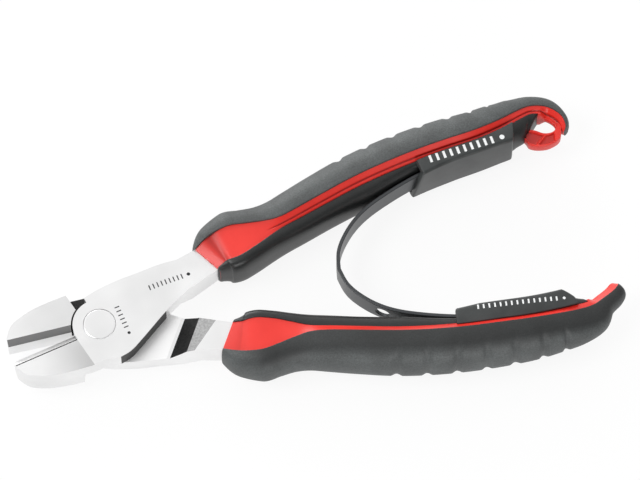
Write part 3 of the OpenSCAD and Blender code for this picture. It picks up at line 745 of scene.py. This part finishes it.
@dataclass
class Grip:
    """One grip: a red core, a proud outer skin, an inner skin and the spring's socket."""

    form: HandleForm
    body: str
    lip: float = 0.7
    lip_round: float = 0.35
    mouth_round: float = 0.6
    line_at: float = -0.28
    line_half: float = 0.22
    line_depth: float = 0.32
    outer_power: float = 0.86

    @property
    def side(self) -> str:
        """Start of the names of this grip's pieces."""
        return self.form.end.value

    def finish(self, obj: bpy.types.Object, material: bpy.types.Material, slot: str, *nodes: str) -> None:
        """Dresses a piece, lets it ride on this handle's body and hides the solids it stands for."""
        dress(obj, material)
        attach(obj, self.body)
        if nodes:
            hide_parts(*nodes)
        log.info("%s: %d points", obj.name, len(obj.data.vertices))

    def thinning(self, t: np.ndarray) -> np.ndarray:
        """Share of the full wall, which is thin at the mouth and at the tip."""
        return np.minimum(self.form.tip(t), 0.3 + 0.7 * t)

    def outer_skin(self) -> bpy.types.Object:
        """Outer skin: a squared half ellipse from one lip round the hand's side to the other
        lip, cut by the finger grooves, and the same curve drawn in for its hidden side."""
        f = self.form
        t = np.concatenate([np.linspace(0, 0.3, 9), np.linspace(0.36, 7.2, 58), np.linspace(7.25, 14, 150),
                            np.linspace(14.1, f.tip_from, 34), f.tip_from + f.tip_len * TIP_RINGS])
        a = np.radians(90 - np.linspace(0, 180, 49))
        in_mm = edge_roundness(t * MOUTH_STATION, self.mouth_round)
        b, r, h = f.band(t), f.reach_out(t) - f.band(t) - in_mm, f.half_out(t) - in_mm
        share = self.thinning(t)
        out = b[:, None] + (r[:, None] - f.groove(t, a)) * np.cos(a).clip(0) ** self.outer_power
        high = h[:, None] * power(np.sin(a), self.outer_power)
        curve = np.stack([out, high], -1)
        drop = np.minimum(1.2 * share, 0.6 * h)
        rings = []
        for sign in (1, -1):
            corner = np.stack([b, sign * h], -1)
            foot = np.stack([b, sign * (h - drop)], -1)
            side = curve[:, 1] if sign == 1 else curve[:, -2]
            arc = rounded(foot, corner, side, self.lip_round, 5)
            rings.append(np.concatenate([foot[:, None], arc], 1) if sign == 1
                         else np.concatenate([arc[:, ::-1], foot[:, None]], 1))
        outside = np.concatenate([rings[0], curve[:, 1:-1], rings[1]], 1)
        wall = 1.4 * share[:, None, None]
        centre = np.stack([b, 0 * b], -1)[:, None]
        spread = outside - centre
        size = np.maximum(np.linalg.norm(spread, axis=-1, keepdims=True), 0.2)
        inside = centre + spread * np.maximum(1 - wall / size, 0.2)
        inside[..., 0] = np.maximum(inside[..., 0], b[:, None])
        rings = np.concatenate([outside, inside[:, ::-1]], 1)
        painted_shade_share = np.zeros(rings.shape[:2])
        if f.end is HandleEnd.HOOK:
            # Painted shade on the lower grip's skin beside the band, which fades out on the ribs
            from_band = rings[..., 0] - b[:, None]
            painted_shade_share = 0.75 * np.clip((8.5 - from_band) / 3.5, 0, 1) * np.clip(t - 1, 0, 1)[:, None]
            painted_shade_share *= np.clip((0.72 * r[:, None] - from_band) / 2 + 1, 0, 1)
        return bar(f"{self.side}_grip_outer", f.place(t, rings), painted_shade_share)

    def core(self) -> bpy.types.Object:
        """Red core: the band's slanted faces with their parting groove on both faces, the hidden
        sides under the skins, and the hook's bare inner wall past the inner skin."""
        f = self.form
        t = np.concatenate([np.linspace(0, 2, 41), np.linspace(2.1, f.skin_end - 0.03, 170),
                            [f.skin_end, f.skin_end + 0.02], np.linspace(f.skin_end + 0.06, f.tip_from, 60),
                            f.tip_from + f.tip_len * TIP_RINGS])
        across, around = 41, 15
        s = np.linspace(-1, 1, across)
        in_mm = edge_roundness(t * MOUTH_STATION, 0.35)
        b = f.band(t) - 0.03
        bare = np.clip((t - f.skin_end) / 0.02, 0, 1)
        tip = f.tip(t)
        upper = f.end is HandleEnd.EYE
        thinned = 1 - 0.72 * np.clip((t - f.skin_end) / 0.5, 0, 1)
        lip = (self.lip if upper else 0.3) * tip
        high_in = f.half_in(t) * thinned - lip * (1 - bare) * 0.5 - in_mm
        high_out = f.half_out(t) - lip - in_mm
        narrow = np.clip((2.6 - b) / 1.0, 0, 1)
        line = np.exp(-(((s[None] - self.line_at) * b[:, None]) / self.line_half) ** 2) * upper
        dip = np.exp(-((t - 1.0) / 0.28) ** 2) * (1 - narrow) * (1 if upper else 0.25)
        level = high_in[:, None] + (high_out - high_in)[:, None] * (s[None] + 1) / 2
        low = narrow[:, None] * self.line_depth * tip[:, None] * line + 0.5 * dip[:, None]
        front = np.stack([b[:, None] * s[None], level - low], -1)
        back = front[:, ::-1] * [1, -1]
        a = np.radians(90 - np.linspace(0, 180, around))
        share = self.thinning(t)
        r = np.maximum(f.reach_out(t) - b - 1.9 * share, 0.15)
        outer = np.stack([b[:, None] + r[:, None] * np.cos(a).clip(0) ** self.outer_power,
                          (high_out - 0.6 * share)[:, None] * power(np.sin(a), self.outer_power)], -1)
        r_in = np.where(bare > 0, 0.45 * tip, np.maximum(f.reach_in(t) - b - 1.2 * share, 0.3))
        drop = np.where(bare > 0, 0.0, 0.8 * share)
        q = f.inner_power(t)[:, None]
        inner = np.stack([-b[:, None] - r_in[:, None] * np.cos(a).clip(0) ** q,
                          -(high_in - drop)[:, None] * power(np.sin(a), q)], -1)
        lean = np.where(bare < 1, f.lean(t), 0.0)
        rings = np.concatenate([front, outer, back, inner], 1)
        # Painted shade: the groove line, the mouth and the valley behind it are marked to be drawn darker
        # red
        painted_shade_mark = np.zeros(rings.shape[:2])
        mouth = 0.18 * np.clip((1.0 - t) / 0.1, 0, 1) * (1 - narrow)
        painted_shade_mark[:, :across] = narrow[:, None] * line + (mouth + 0.5 * dip)[:, None]
        painted_shade_mark[:, across + around:2 * across + around] = painted_shade_mark[:, :across][:, ::-1]
        # The rings start half way down the inner side, so that the end caps run across the grip
        start = rings.shape[1] - (around + 1) // 2
        ends = (t == 0) | (np.abs(t - f.skin_end - 0.01) < 0.015)
        dark = (rings[..., 0] < 0.01 - b[:, None]) & ends[:, None]
        return bar(f"{self.side}_grip_core_red", np.roll(f.place(t, rings, lean), -start, 1),
                   np.roll(painted_shade_mark.clip(0, 1), -start, 1), np.roll(dark, -start, 1))

    def inner_skin(self) -> bpy.types.Object:
        """Inner skin: a boxy half ellipse from lip to lip round the fingers' side, drawn in under
        the spring and its socket, with its end cut on the slant."""
        f = self.form
        t0, t1 = f.station(f.socket_from), f.station(f.socket_to)
        t = np.concatenate([np.linspace(0, 0.3, 9), np.linspace(0.36, t0, 110),
                            np.linspace(t0 + 0.1, t1 - 0.1, 24), [t1 - 0.01, t1 + 0.01],
                            np.linspace(t1 + 0.05, f.skin_end, 16)])
        a = np.radians(90 - np.linspace(0, 180, 37))
        in_mm = edge_roundness(t * MOUTH_STATION, self.mouth_round)
        in_mm = in_mm + edge_roundness((f.skin_end - t) * END_STATION, 0.4)
        b, h = f.band_in(t), f.half_in(t) + 0.25 * f.overlap - in_mm
        r = f.reach_in(t) - b - in_mm
        share = self.thinning(t)
        q = f.inner_power(t)[:, None]
        curve = np.stack([-(b[:, None] + r[:, None] * np.cos(a).clip(0) ** q),
                          h[:, None] * power(np.sin(a), q)], -1)
        drop = 1.0 * share
        foot = [np.stack([-b, s * (h - drop)], -1) for s in (1, -1)]
        top = rounded(foot[0], np.stack([-b, h], -1), curve[:, 1], self.lip_round, 5)
        low = rounded(foot[1], np.stack([-b, -h], -1), curve[:, -2], self.lip_round, 5)[:, ::-1]
        outside = np.concatenate([foot[0][:, None], top, curve[:, 1:-1], low, foot[1][:, None]], 1)
        centre = np.stack([-b, 0 * b], -1)[:, None]
        spread = outside - centre
        size = np.maximum(np.linalg.norm(spread, axis=-1, keepdims=True), 0.2)
        inside = centre + spread * np.maximum(1 - 1.1 * share[:, None, None] / size, 0.2)
        inside[..., 0] = np.minimum(inside[..., 0], -b[:, None])
        rings = np.concatenate([outside, inside[:, ::-1]], 1)
        return bar(f"{self.side}_grip_inner", f.place(t, rings, f.lean(t)))

    def socket(self) -> bpy.types.Object:
        """Spring socket: a box section with rounded corners round the inner skin, whose mouth is
        cut on the slant and whose far end slopes down to the skin."""
        f = self.form
        t0, t1 = f.station(f.socket_from), f.station(f.socket_to)
        u = np.concatenate([[0, 0.006, 0.015, 0.03], np.linspace(0.05, 0.86, 60), np.linspace(0.87, 1, 20)])
        t = t0 + 0.02 + (t1 - t0 + 0.02) * u
        length = f.socket_to - f.socket_from
        pull = edge_roundness(u * length, 0.45) + edge_roundness((1 - u) * length, 0.5)
        eye = f.end is HandleEnd.EYE
        slope = np.clip((u - 0.87) / 0.13, 0, 1) * (0 if eye else 1.3)
        if eye:
            sag = np.sin(math.pi * u) + edge_roundness((1 - u) * length, 1.6)
        else:
            sag = 0.8 * np.clip(1 - u / 0.16, 0, 1)
        b = f.band_in(t) + 0.05
        h = f.half_in(t) + 0.05 + f.socket_wall - pull
        r = f.socket_in - 0.1 - pull - 2.6 * slope ** 1.4 - sag
        inner_h = f.half_in(t) + 0.05
        wall = min(f.socket_wall, 1.2)
        turn = np.radians(np.linspace(0, 90, 7))
        radius = 1.1
        parts = []
        for sign in (1, -1):
            lip = rounded(np.stack([-b, sign * (h - 1)], -1), np.stack([-b, sign * h], -1),
                          np.stack([-b - 2, sign * h], -1), 0.35, 5)
            arc = np.stack([-(r - radius)[:, None] - radius * np.sin(turn)[None],
                            sign * ((h - radius)[:, None] + radius * np.cos(turn)[None])], -1)
            mid_face = np.stack([-(b + (r - b) * 0.5), sign * h], -1)[:, None]
            foot = np.stack([-b, sign * inner_h], -1)[:, None]
            run = np.concatenate([foot, lip, mid_face, arc], 1)
            parts.append(run if sign == 1 else run[:, ::-1])
        belly = np.stack([-r - 0.12, 0 * r], -1)[:, None]
        outside = np.concatenate([parts[0], belly, parts[1]], 1)
        high = np.abs(outside[..., 1])
        share = np.clip(high / h[:, None], 0, 1)
        inner_high = np.minimum(high, inner_h[:, None] - 0.02 * share)
        inside = np.stack([np.minimum(outside[..., 0] + wall, -b[:, None]),
                           np.sign(outside[..., 1]) * inner_high], -1)
        rings = np.concatenate([outside, inside[:, ::-1]], 1)
        placed = f.place(t, rings, f.lean(t))
        # The mouth leans back from its front edge to its back edge
        side = 1 if f.end is HandleEnd.EYE else -1
        lean = side * (placed[..., 2] - MID) / 8 * 1.6 * np.clip(1 - u / 0.3, 0, 1)[:, None]
        placed[..., 0] += lean
        return bar(f"{self.side}_spring_channel", placed)

    def build(self, red: bpy.types.Material, skin: bpy.types.Material, inner: bpy.types.Material,
              socket: bpy.types.Material) -> None:
        """Builds and dresses all pieces of the grip.

        Args:
            red: Material of the core.
            skin: Material of the outer skin.
            inner: Material of the inner skin.
            socket: Material of the spring socket.
        """
        name = self.side
        core = self.core()
        self.finish(core, red, "red_core", f"{name}_grip_core")
        dress(core, inner)
        self.finish(self.outer_skin(), skin, "grey_skin", f"{name}_outer_skin")
        self.finish(self.inner_skin(), inner, "grey_skin", f"{name}_inner_skin")
        self.finish(self.socket(), socket, "socket_plastic", f"{name}_spring_socket")


@dataclass
class TetherEye:
    """Web that closes the upper handle's hook into an eye for a tether."""

    middle: tuple[float, float] = (147.0, 26.1)
    half_t: float = 1.9
    recess: float = 0.7
    ridge: float = 0.6
    edge: float = 0.14

    def build(self, red: bpy.types.Material) -> None:
        """Lofts flat strips between the web's upper and lower edges, front and back, with rounded
        edges, a recessed field inside a rim and a low ridge across the field's middle.

        Args:
            red: Material of the core.
        """
        upper = np.array([[-7.4, 5.4], [-5.2, 5.3], [-2.8, 4.5], [-0.4, 2.9], [2.0, 2.6], [3.6, 3.6],
                          [4.6, 5.4]])
        lower = np.array([[-7.6, 4.2], [-6.4, 1.7], [-5.7, -0.1], [-3.0, -1.3], [0.4, -1.5], [3.9, -0.1],
                          [5.3, 3.4]])
        t = np.linspace(0, 6, 73)[:, None]
        top, low = spline(upper, t[:, 0]), spline(lower, t[:, 0])
        s = np.sin(np.linspace(-math.pi / 2, math.pi / 2, 49))[None]
        round_off = 1 - np.sqrt(1 - np.clip((np.abs(s) - 1 + self.edge) / self.edge, 0, 1) ** 2)
        field_in = np.clip((0.72 - np.abs(s + 0.04)) / 0.1, 0, 1) * np.clip((4.5 - t) / 0.15, 0, 1)
        on_ridge = np.exp(-((t - 3.0 - 0.35 * s) / 0.16) ** 2)
        z = self.half_t * (1 - 0.8 * round_off) - field_in * (self.recess - self.ridge * on_ridge)
        plan = (top + low)[:, None] / 2 + (top - low)[:, None] / 2 * s[..., None] + self.middle
        front = np.concatenate([plan, MID + z[..., None]], -1)
        back = np.concatenate([plan, MID - z[..., None]], -1)
        # Painted shade: the recessed field is marked to be drawn darker red, except along the ridge
        painted_shade_mark = np.broadcast_to(0.5 * field_in * (1 - on_ridge), z.shape)
        obj = bar("tether_eye_web", np.concatenate([front, back[:, ::-1]], 1),
                  np.concatenate([painted_shade_mark, painted_shade_mark[:, ::-1]], 1))
        dress(obj, red)
        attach(obj, FRONT_HALF)
        log.info("%s: %d points", obj.name, len(obj.data.vertices))


# ---------------------------------------------------------------------------------------------
# Steel parts
# ---------------------------------------------------------------------------------------------

class Zone(Enum):
    """Finishes on a lever, as face material numbers."""

    GROUND = 0
    JAW = 1
    CUTTING = 2
    SHADED = 3
    FORGED = 4
    LAPPED = 5


def merged_copy(node: str, name: str,
                weld_mm: float = 0.002) -> tuple[bpy.types.Object, bmesh.types.BMesh]:
    """Starts a copy of a solid's mesh, with its loose triangles joined and its flat faces made whole.

    Args:
        node: The solid's node.
        name: Name of the new piece.
        weld_mm: Points nearer to each other than this become one.

    Returns:
        The copy, at the origin and still empty, and the mesh to finish and write into it.
    """
    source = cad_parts[node].data
    points = np.empty(len(source.vertices) * 3)
    source.vertices.foreach_get("co", points)
    corners = np.empty(len(source.polygons) * 3, np.int32)
    source.polygons.foreach_get("vertices", corners)
    mesh = bpy.data.meshes.new(name)
    mesh.from_pydata(points.reshape(-1, 3).tolist(), [], corners.reshape(-1, 3).tolist())
    bm = bmesh.new()
    bm.from_mesh(mesh)
    bmesh.ops.remove_doubles(bm, verts=bm.verts, dist=weld_mm * MM)
    bmesh.ops.dissolve_limit(bm, angle_limit=math.radians(0.6), verts=bm.verts, edges=bm.edges)
    bmesh.ops.recalc_face_normals(bm, faces=bm.faces)
    obj = bpy.data.objects.new(name, mesh)
    bpy.context.scene.collection.objects.link(obj)
    return obj, bm


@dataclass
class Lever:
    """One forged lever with its jaw, joint plate and shank, drawn from its solid. Zones lie in the
    frame in which both levers are drawn, with the handle on the +Y side and the lap behind."""

    node: str
    body: str
    turned_over: bool
    edge_deg: float
    edge_round: float = 0.22
    sharp_deg: float = 25.0
    weld_mm: float = 0.08
    bevel_run: float = 1.75
    line_width: float = 0.3
    plate_r: float = 8.6
    front_deg: float = 33.0
    ramp_from: float = 22.8
    ramp_to: float = 27.5
    grinding_ends: tuple[float, float, float, float] = (25.7, 14.8, 34.2, 6.9)

    def drawn(self, v: np.ndarray) -> np.ndarray:
        """Turns vectors over for the lever that lies the other way up."""
        return v * ([1, -1, -1] if self.turned_over else [1, 1, 1])

    def cut(self, bm: bmesh.types.BMesh, point: tuple[float, float], angle_deg: float,
            only: str = "all") -> None:
        """Adds edges where an upright plane crosses the lever, so that a finish can end there.

        Args:
            bm: The lever's mesh.
            point: A point of the plane, in the drawn frame.
            angle_deg: Direction in which the plane runs.
            only: "jaw" to cut the faces past the joint plate alone.
        """
        a = math.radians(angle_deg)
        at = self.drawn(np.array([point[0], point[1], 0.0])) * MM
        normal = self.drawn(np.array([-math.sin(a), math.cos(a), 0.0]))
        faces = [f for f in bm.faces if only == "all" or f.calc_center_median().x < -self.plate_r * MM]
        edges = {e for f in faces for e in f.edges}
        verts = {v for f in faces for v in f.verts}
        bmesh.ops.bisect_plane(bm, geom=[*verts, *edges, *faces], dist=SAME_POINT,
                               plane_co=Vector(at) + Vector((0, 0, MID * MM)), plane_no=Vector(normal))

    def zones(self, mesh: bpy.types.Mesh) -> None:
        """Sorts the faces into zones by where they lie and how they face."""
        count = len(mesh.polygons)
        centre, normal = np.empty(count * 3), np.empty(count * 3)
        mesh.polygons.foreach_get("center", centre)
        mesh.polygons.foreach_get("normal", normal)
        c = self.drawn(centre.reshape(-1, 3) / MM - [0, 0, MID])
        n = self.drawn(normal.reshape(-1, 3))
        e, f = math.radians(self.edge_deg), math.radians(self.front_deg)
        along = c[:, 0] * math.cos(e) + c[:, 1] * math.sin(e)
        depth = c[:, 0] * math.sin(e) - c[:, 1] * math.cos(e)
        to_edge = -n[:, 0] * math.sin(e) + n[:, 1] * math.cos(e)
        distance = c[:, 0] * math.cos(f) + c[:, 1] * math.sin(f)
        facing = n[:, 0] * math.cos(f) + n[:, 1] * math.sin(f)
        radius = np.hypot(c[:, 0], c[:, 1])
        towards = -(n[:, 0] * c[:, 0] + n[:, 1] * c[:, 1]) / radius
        x0, y0, x1, y1 = self.grinding_ends
        ground_side = (x1 - x0) * (c[:, 1] - y0) - (y1 - y0) * (c[:, 0] - x0) > 0
        upright = np.abs(n[:, 2]) < 0.3
        up = -1 if self.turned_over else 1
        shown = n[:, 2] * up > 0.5
        zone = np.full(count, Zone.GROUND.value)
        jaw = along < (-6.0 if self.turned_over else -self.plate_r)
        zone[jaw & ~(upright & (to_edge < 0.4))] = Zone.JAW.value
        if self.turned_over:
            zone[jaw & (to_edge > 0.4)] = Zone.GROUND.value
            # Painted shade on the notched jaw's cutting bevel
            zone[jaw & (to_edge > 0.4) & (n[:, 2] * up > 0.3)] = Zone.CUTTING.value
        # Painted shadow: a thin dark strip along the wide jaw's bevel, where the face's step casts shade
        line = jaw & shown & (depth < self.bevel_run + self.line_width) & (to_edge < 0.4)
        zone[line & (not self.turned_over)] = Zone.SHADED.value
        behind = c[:, 2] < 0.2
        lap = behind & (n[:, 2] < -0.9) & (c[:, 2] > -0.2)
        zone[lap & (c[:, 0] > 0)] = Zone.LAPPED.value
        # Painted shade on the lap floor of the notch, left of the pivot
        zone[lap & (c[:, 0] < 0)] = Zone.SHADED.value
        # Painted shade on the step walls round the joint plate and on the notched jaw's end wall
        step_wall = behind & upright & (towards > 0.6) & (radius > 6) & (radius < 15) & (c[:, 0] < -2)
        zone[step_wall] = Zone.SHADED.value
        if self.turned_over:
            end_wall = upright & (n[:, 0] > 0.5) & (c[:, 0] < -2) & (c[:, 0] > -15) & (c[:, 1] < -6)
            zone[end_wall] = Zone.SHADED.value
        # Painted shade on the ramp up from the lap
        on_ramp = (distance > self.ramp_from) & (distance < self.ramp_to)
        on_ramp &= (facing < -0.3) & (np.abs(n[:, 2]) > 0.3)
        zone[on_ramp & (c[:, 2] < 0)] = Zone.SHADED.value
        # Painted highlight: a bright strip of ground steel along the foot of the ramp
        crease = (distance > self.ramp_from - 1.0) & (distance < self.ramp_from) & (n[:, 2] < -0.9)
        zone[crease & (np.abs(c[:, 2]) < 0.2)] = Zone.GROUND.value
        rough = (n[:, 2] < -0.5) & (c[:, 2] < -3) & (distance > self.ramp_to - 0.1) & ~ground_side
        zone[rough] = Zone.FORGED.value
        # Painted shade on the upright inner walls beside the joint, along the levers' gap
        inner = upright & (n[:, 0] * 0.64 - n[:, 1] * 0.77 > 0.55)
        inner &= (c[:, 2] > 0) & (c[:, 0] > 3.6) & (c[:, 0] < 20.2)
        zone[inner] = Zone.SHADED.value
        mesh.polygons.foreach_set("material_index", zone.astype(np.int32))

    def build(self, materials: list[bpy.types.Material]) -> None:
        """Copies the solid, sorts its faces and rounds its edges.

        Args:
            materials: Materials in the order of Zone.
        """
        obj, bm = merged_copy(self.node, f"{self.node}_forging", self.weld_mm)
        e = math.radians(self.edge_deg)
        x0, y0, x1, y1 = self.grinding_ends
        self.cut(bm, (x0, y0), math.degrees(math.atan2(y1 - y0, x1 - x0)))
        if self.turned_over:
            f = math.radians(self.front_deg)
            start = self.ramp_from - 1.0
            # Cuts where the painted shade of the notch floor and the painted highlight at the ramp's foot
            # begin
            self.cut(bm, (0.0, 0.0), 90.0)
            self.cut(bm, (start * math.cos(f), start * math.sin(f)), self.front_deg + 90)
        else:
            # Cut where the painted shadow line along the wide jaw's bevel ends
            down = self.bevel_run + self.line_width
            self.cut(bm, (down * math.sin(e), -down * math.cos(e)), self.edge_deg, "jaw")
        bm.to_mesh(obj.data)
        bm.free()
        self.zones(obj.data)
        round_edges(obj, self.edge_round, 3, self.sharp_deg)
        dress(obj, *materials)
        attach(obj, self.body)
        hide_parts(self.node)
        log.info("%s: %d faces", obj.name, len(obj.data.polygons))


@dataclass
class Rivet:
    """The joint's rivet, flush with both faces."""

    shank_r: float = 3.57
    head_r: float = 4.87
    head_t: float = 1.57
    rim: float = 0.28

    def build(self, material: bpy.types.Material) -> None:
        """Turns the rivet's half section round the pivot axis, with a rounded rim on each head.

        Args:
            material: Its steel.
        """
        arc = np.radians(np.linspace(0, 90, 6))
        flat_r = self.head_r - self.rim
        rim = np.stack([flat_r + self.rim * np.cos(arc), -self.rim + self.rim * np.sin(arc)], -1)
        face = np.stack([np.linspace(flat_r, 0.02, 14)[1:], np.zeros(13)], -1)
        seat = MID - self.head_t
        upper = np.concatenate([[[self.shank_r, 0], [self.shank_r, seat], [self.head_r, seat]],
                                rim + [0, MID], face + [0, MID]])
        lower = upper[::-1][:-1] * [1, -1]
        half = np.concatenate([lower, upper])
        turn = np.linspace(0, 2 * math.pi, 129)[:-1]
        x = half[None, :, 0] * np.cos(turn)[:, None]
        y = half[None, :, 0] * np.sin(turn)[:, None]
        z = np.broadcast_to(MID + half[None, :, 1], x.shape)
        rings = np.stack([x, y, z], -1).transpose(1, 0, 2)
        rows, columns = rings.shape[:2]
        faces = tube_faces(rows, columns).tolist()
        faces += [list(range(columns)), list(range((rows - 1) * columns, rows * columns))]
        obj = new_object("joint_rivet", rings.reshape(-1, 3), faces)
        dress(obj, material)
        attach(obj, FRONT_HALF)
        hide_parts("pivot_rivet")
        log.info("%s: %d points", obj.name, len(obj.data.vertices))


@dataclass
class LeafSpring:
    """The bowed return spring, copied in its drawn shape; on the tool it bends as the handles close."""

    edge_round: float = 0.18
    sharp_deg: float = 40.0
    bow_x: float = 90.0
    turn_from: float = 20.0

    def build(self, material: bpy.types.Material) -> None:
        """Copies the spring's solid and rounds its edges.

        Args:
            material: Its steel.
        """
        obj, bm = merged_copy("leaf_spring", "return_leaf_spring")
        bm.to_mesh(obj.data)
        bm.free()
        round_edges(obj, self.edge_round, 2, self.sharp_deg)
        dress(obj, material)
        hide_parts("leaf_spring")
        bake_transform(obj)
        log.info("%s: %d points", obj.name, len(obj.data.vertices))


# ---------------------------------------------------------------------------------------------
# Studio
# ---------------------------------------------------------------------------------------------

@dataclass
class Studio:
    """Pale floor, soft light and the camera at the photograph's angle. Lengths are in mm."""

    eye: tuple[float, float, float] = (-82.81, -577.96, 1375.82)
    right: tuple[float, float, float] = (0.96749, -0.25291, 0.0)
    up: tuple[float, float, float] = (0.23105, 0.88385, 0.40674)
    focal_px: float = 4950.0
    frame_px: float = 640.0
    sensor: float = 36.0
    floor_side: float = 4000.0
    front_level: float = 0.2
    back_level: float = 1.15
    aim_x: float = 70.0

    def camera(self) -> None:
        """Stands the camera at the photograph's viewing angle."""
        data = bpy.data.cameras.new("camera")
        data.sensor_width = self.sensor
        data.lens = self.focal_px / self.frame_px * self.sensor
        data.clip_end = 50
        obj = bpy.data.objects.new("camera", data)
        right, up = Vector(self.right).normalized(), Vector(self.up).normalized()
        back = right.cross(up)
        turn = Matrix((right, up, back)).transposed().to_4x4()
        obj.matrix_world = Matrix.Translation(Vector(self.eye) * MM) @ turn
        bpy.context.scene.collection.objects.link(obj)
        bpy.context.scene.camera = obj

    def floor(self) -> None:
        """Lays a pale floor just under the lowest point. The camera sees it lifted to white,
        with the object's shadow kept."""
        low = CAD_BOX[0][2] - 0.05 * MM
        half = self.floor_side / 2 * MM
        mesh = bpy.data.meshes.new("floor")
        corners = [(x * half, y * half, low) for x, y in ((-1, -1), (1, -1), (1, 1), (-1, 1))]
        mesh.from_pydata(corners, [], [(0, 1, 2, 3)])
        obj = bpy.data.objects.new("floor", mesh)
        bpy.context.scene.collection.objects.link(obj)
        material = bpy.data.materials.new("pale_paper_sweep")
        material.use_nodes = True
        tree = material.node_tree
        shader = tree.nodes["Principled BSDF"]
        shader.inputs["Base Color"].default_value = linear("#f4f4f4")
        shader.inputs["Roughness"].default_value = 0.9
        shader.inputs["Specular IOR Level"].default_value = 0.0
        path = add(tree, "ShaderNodeLightPath").outputs
        seen = add(tree, "ShaderNodeMath", {"operation": "MAXIMUM"}, i0=path["Is Camera Ray"],
                   i1=path["Is Glossy Ray"])
        seen = add(tree, "ShaderNodeMath", {"operation": "MAXIMUM"}, i0=seen.outputs[0],
                   i1=path["Is Transmission Ray"])
        share = add(tree, "ShaderNodeMath", {"operation": "MULTIPLY"}, i0=seen.outputs[0], i1=0.9)
        glow = add(tree, "ShaderNodeEmission", Color=linear("#ffffff"), Strength=1.0)
        mix = add(tree, "ShaderNodeMixShader", i0=share.outputs[0], i1=shader.outputs[0],
                  i2=glow.outputs[0])
        tree.links.new(mix.outputs[0], tree.nodes["Material Output"].inputs["Surface"])
        dress(obj, material)

    def lamp(self, name: str, at: tuple[float, float, float], size: float, power_w: float) -> None:
        """Adds a square soft lamp that faces the middle of the tool.

        Args:
            name: The lamp's name.
            at: Its place in mm.
            size: Side of the square in mm.
            power_w: Its power in watts.
        """
        data = bpy.data.lights.new(name, "AREA")
        data.size = size * MM
        data.energy = power_w
        obj = bpy.data.objects.new(name, data)
        obj.location = Vector(at) * MM
        aim = Vector((self.aim_x * MM, 0, 0)) - obj.location
        obj.rotation_euler = aim.to_track_quat("-Z", "Y").to_euler()
        bpy.context.scene.collection.objects.link(obj)

    def world(self) -> None:
        """Soft studio light from all round, brighter at the back than at the front, which the
        camera sees as white."""
        world = bpy.data.worlds.new("studio")
        bpy.context.scene.world = world
        world.use_nodes = True
        tree = world.node_tree
        room = tree.nodes["Background"]
        room.inputs["Color"].default_value = linear("#ffffff")
        direction = add(tree, "ShaderNodeTexCoord").outputs["Object"]
        back = add(tree, "ShaderNodeSeparateXYZ", Vector=direction).outputs["Y"]
        level = add(tree, "ShaderNodeMapRange", {"interpolation_type": "SMOOTHSTEP"}, Value=back,
                    From_Min=-0.95, From_Max=1.0, To_Min=self.front_level, To_Max=self.back_level)
        tree.links.new(level.outputs[0], room.inputs["Strength"])
        seen = add(tree, "ShaderNodeBackground", Color=linear("#ffffff"), Strength=1.0)
        path = add(tree, "ShaderNodeLightPath")
        mix = add(tree, "ShaderNodeMixShader", i0=path.outputs["Is Camera Ray"], i1=room.outputs[0],
                  i2=seen.outputs[0])
        tree.links.new(mix.outputs[0], tree.nodes["World Output"].inputs["Surface"])

    def build(self) -> None:
        """Sets up the whole studio."""
        bpy.context.scene.view_settings.view_transform = "Standard"
        self.camera()
        self.world()
        self.floor()
        self.lamp("back_lamp", (-100, 900, 260), 500, 4.0)
        self.lamp("left_lamp", (-650, 0, 950), 600, 7.0)
        self.lamp("front_lamp", (60, -1000, 200), 500, 5.0)


def main() -> None:
    """Builds the studio, the steel parts, both grips and the spring."""
    logging.basicConfig(level=logging.INFO)
    Studio().build()
    ground, front_jaw, back_jaw = GROUND.build(), FRONT_JAW.build(), BACK_JAW.build()
    others = [finish.build() for finish in (CUTTING, SHADED, FORGED, LAPPED)]
    Lever("front_lever", FRONT_HALF, False, 9.65).build([ground, front_jaw, *others])
    Lever("back_lever", BACK_HALF, True, 0.95).build([ground, back_jaw, *others])
    Rivet().build(RIVET.build())
    red, skin, inner, socket = RED.build(), SKIN.build(), INNER_SKIN.build(), SOCKET.build()
    Grip(HandleForm(HandleEnd.EYE), FRONT_HALF).build(red, skin, inner, socket)
    Grip(HandleForm(HandleEnd.HOOK), BACK_HALF).build(red, skin, inner, socket)
    TetherEye().build(red)
    LeafSpring().build(SPRING.build())


if __name__ == "__main__":
    main()
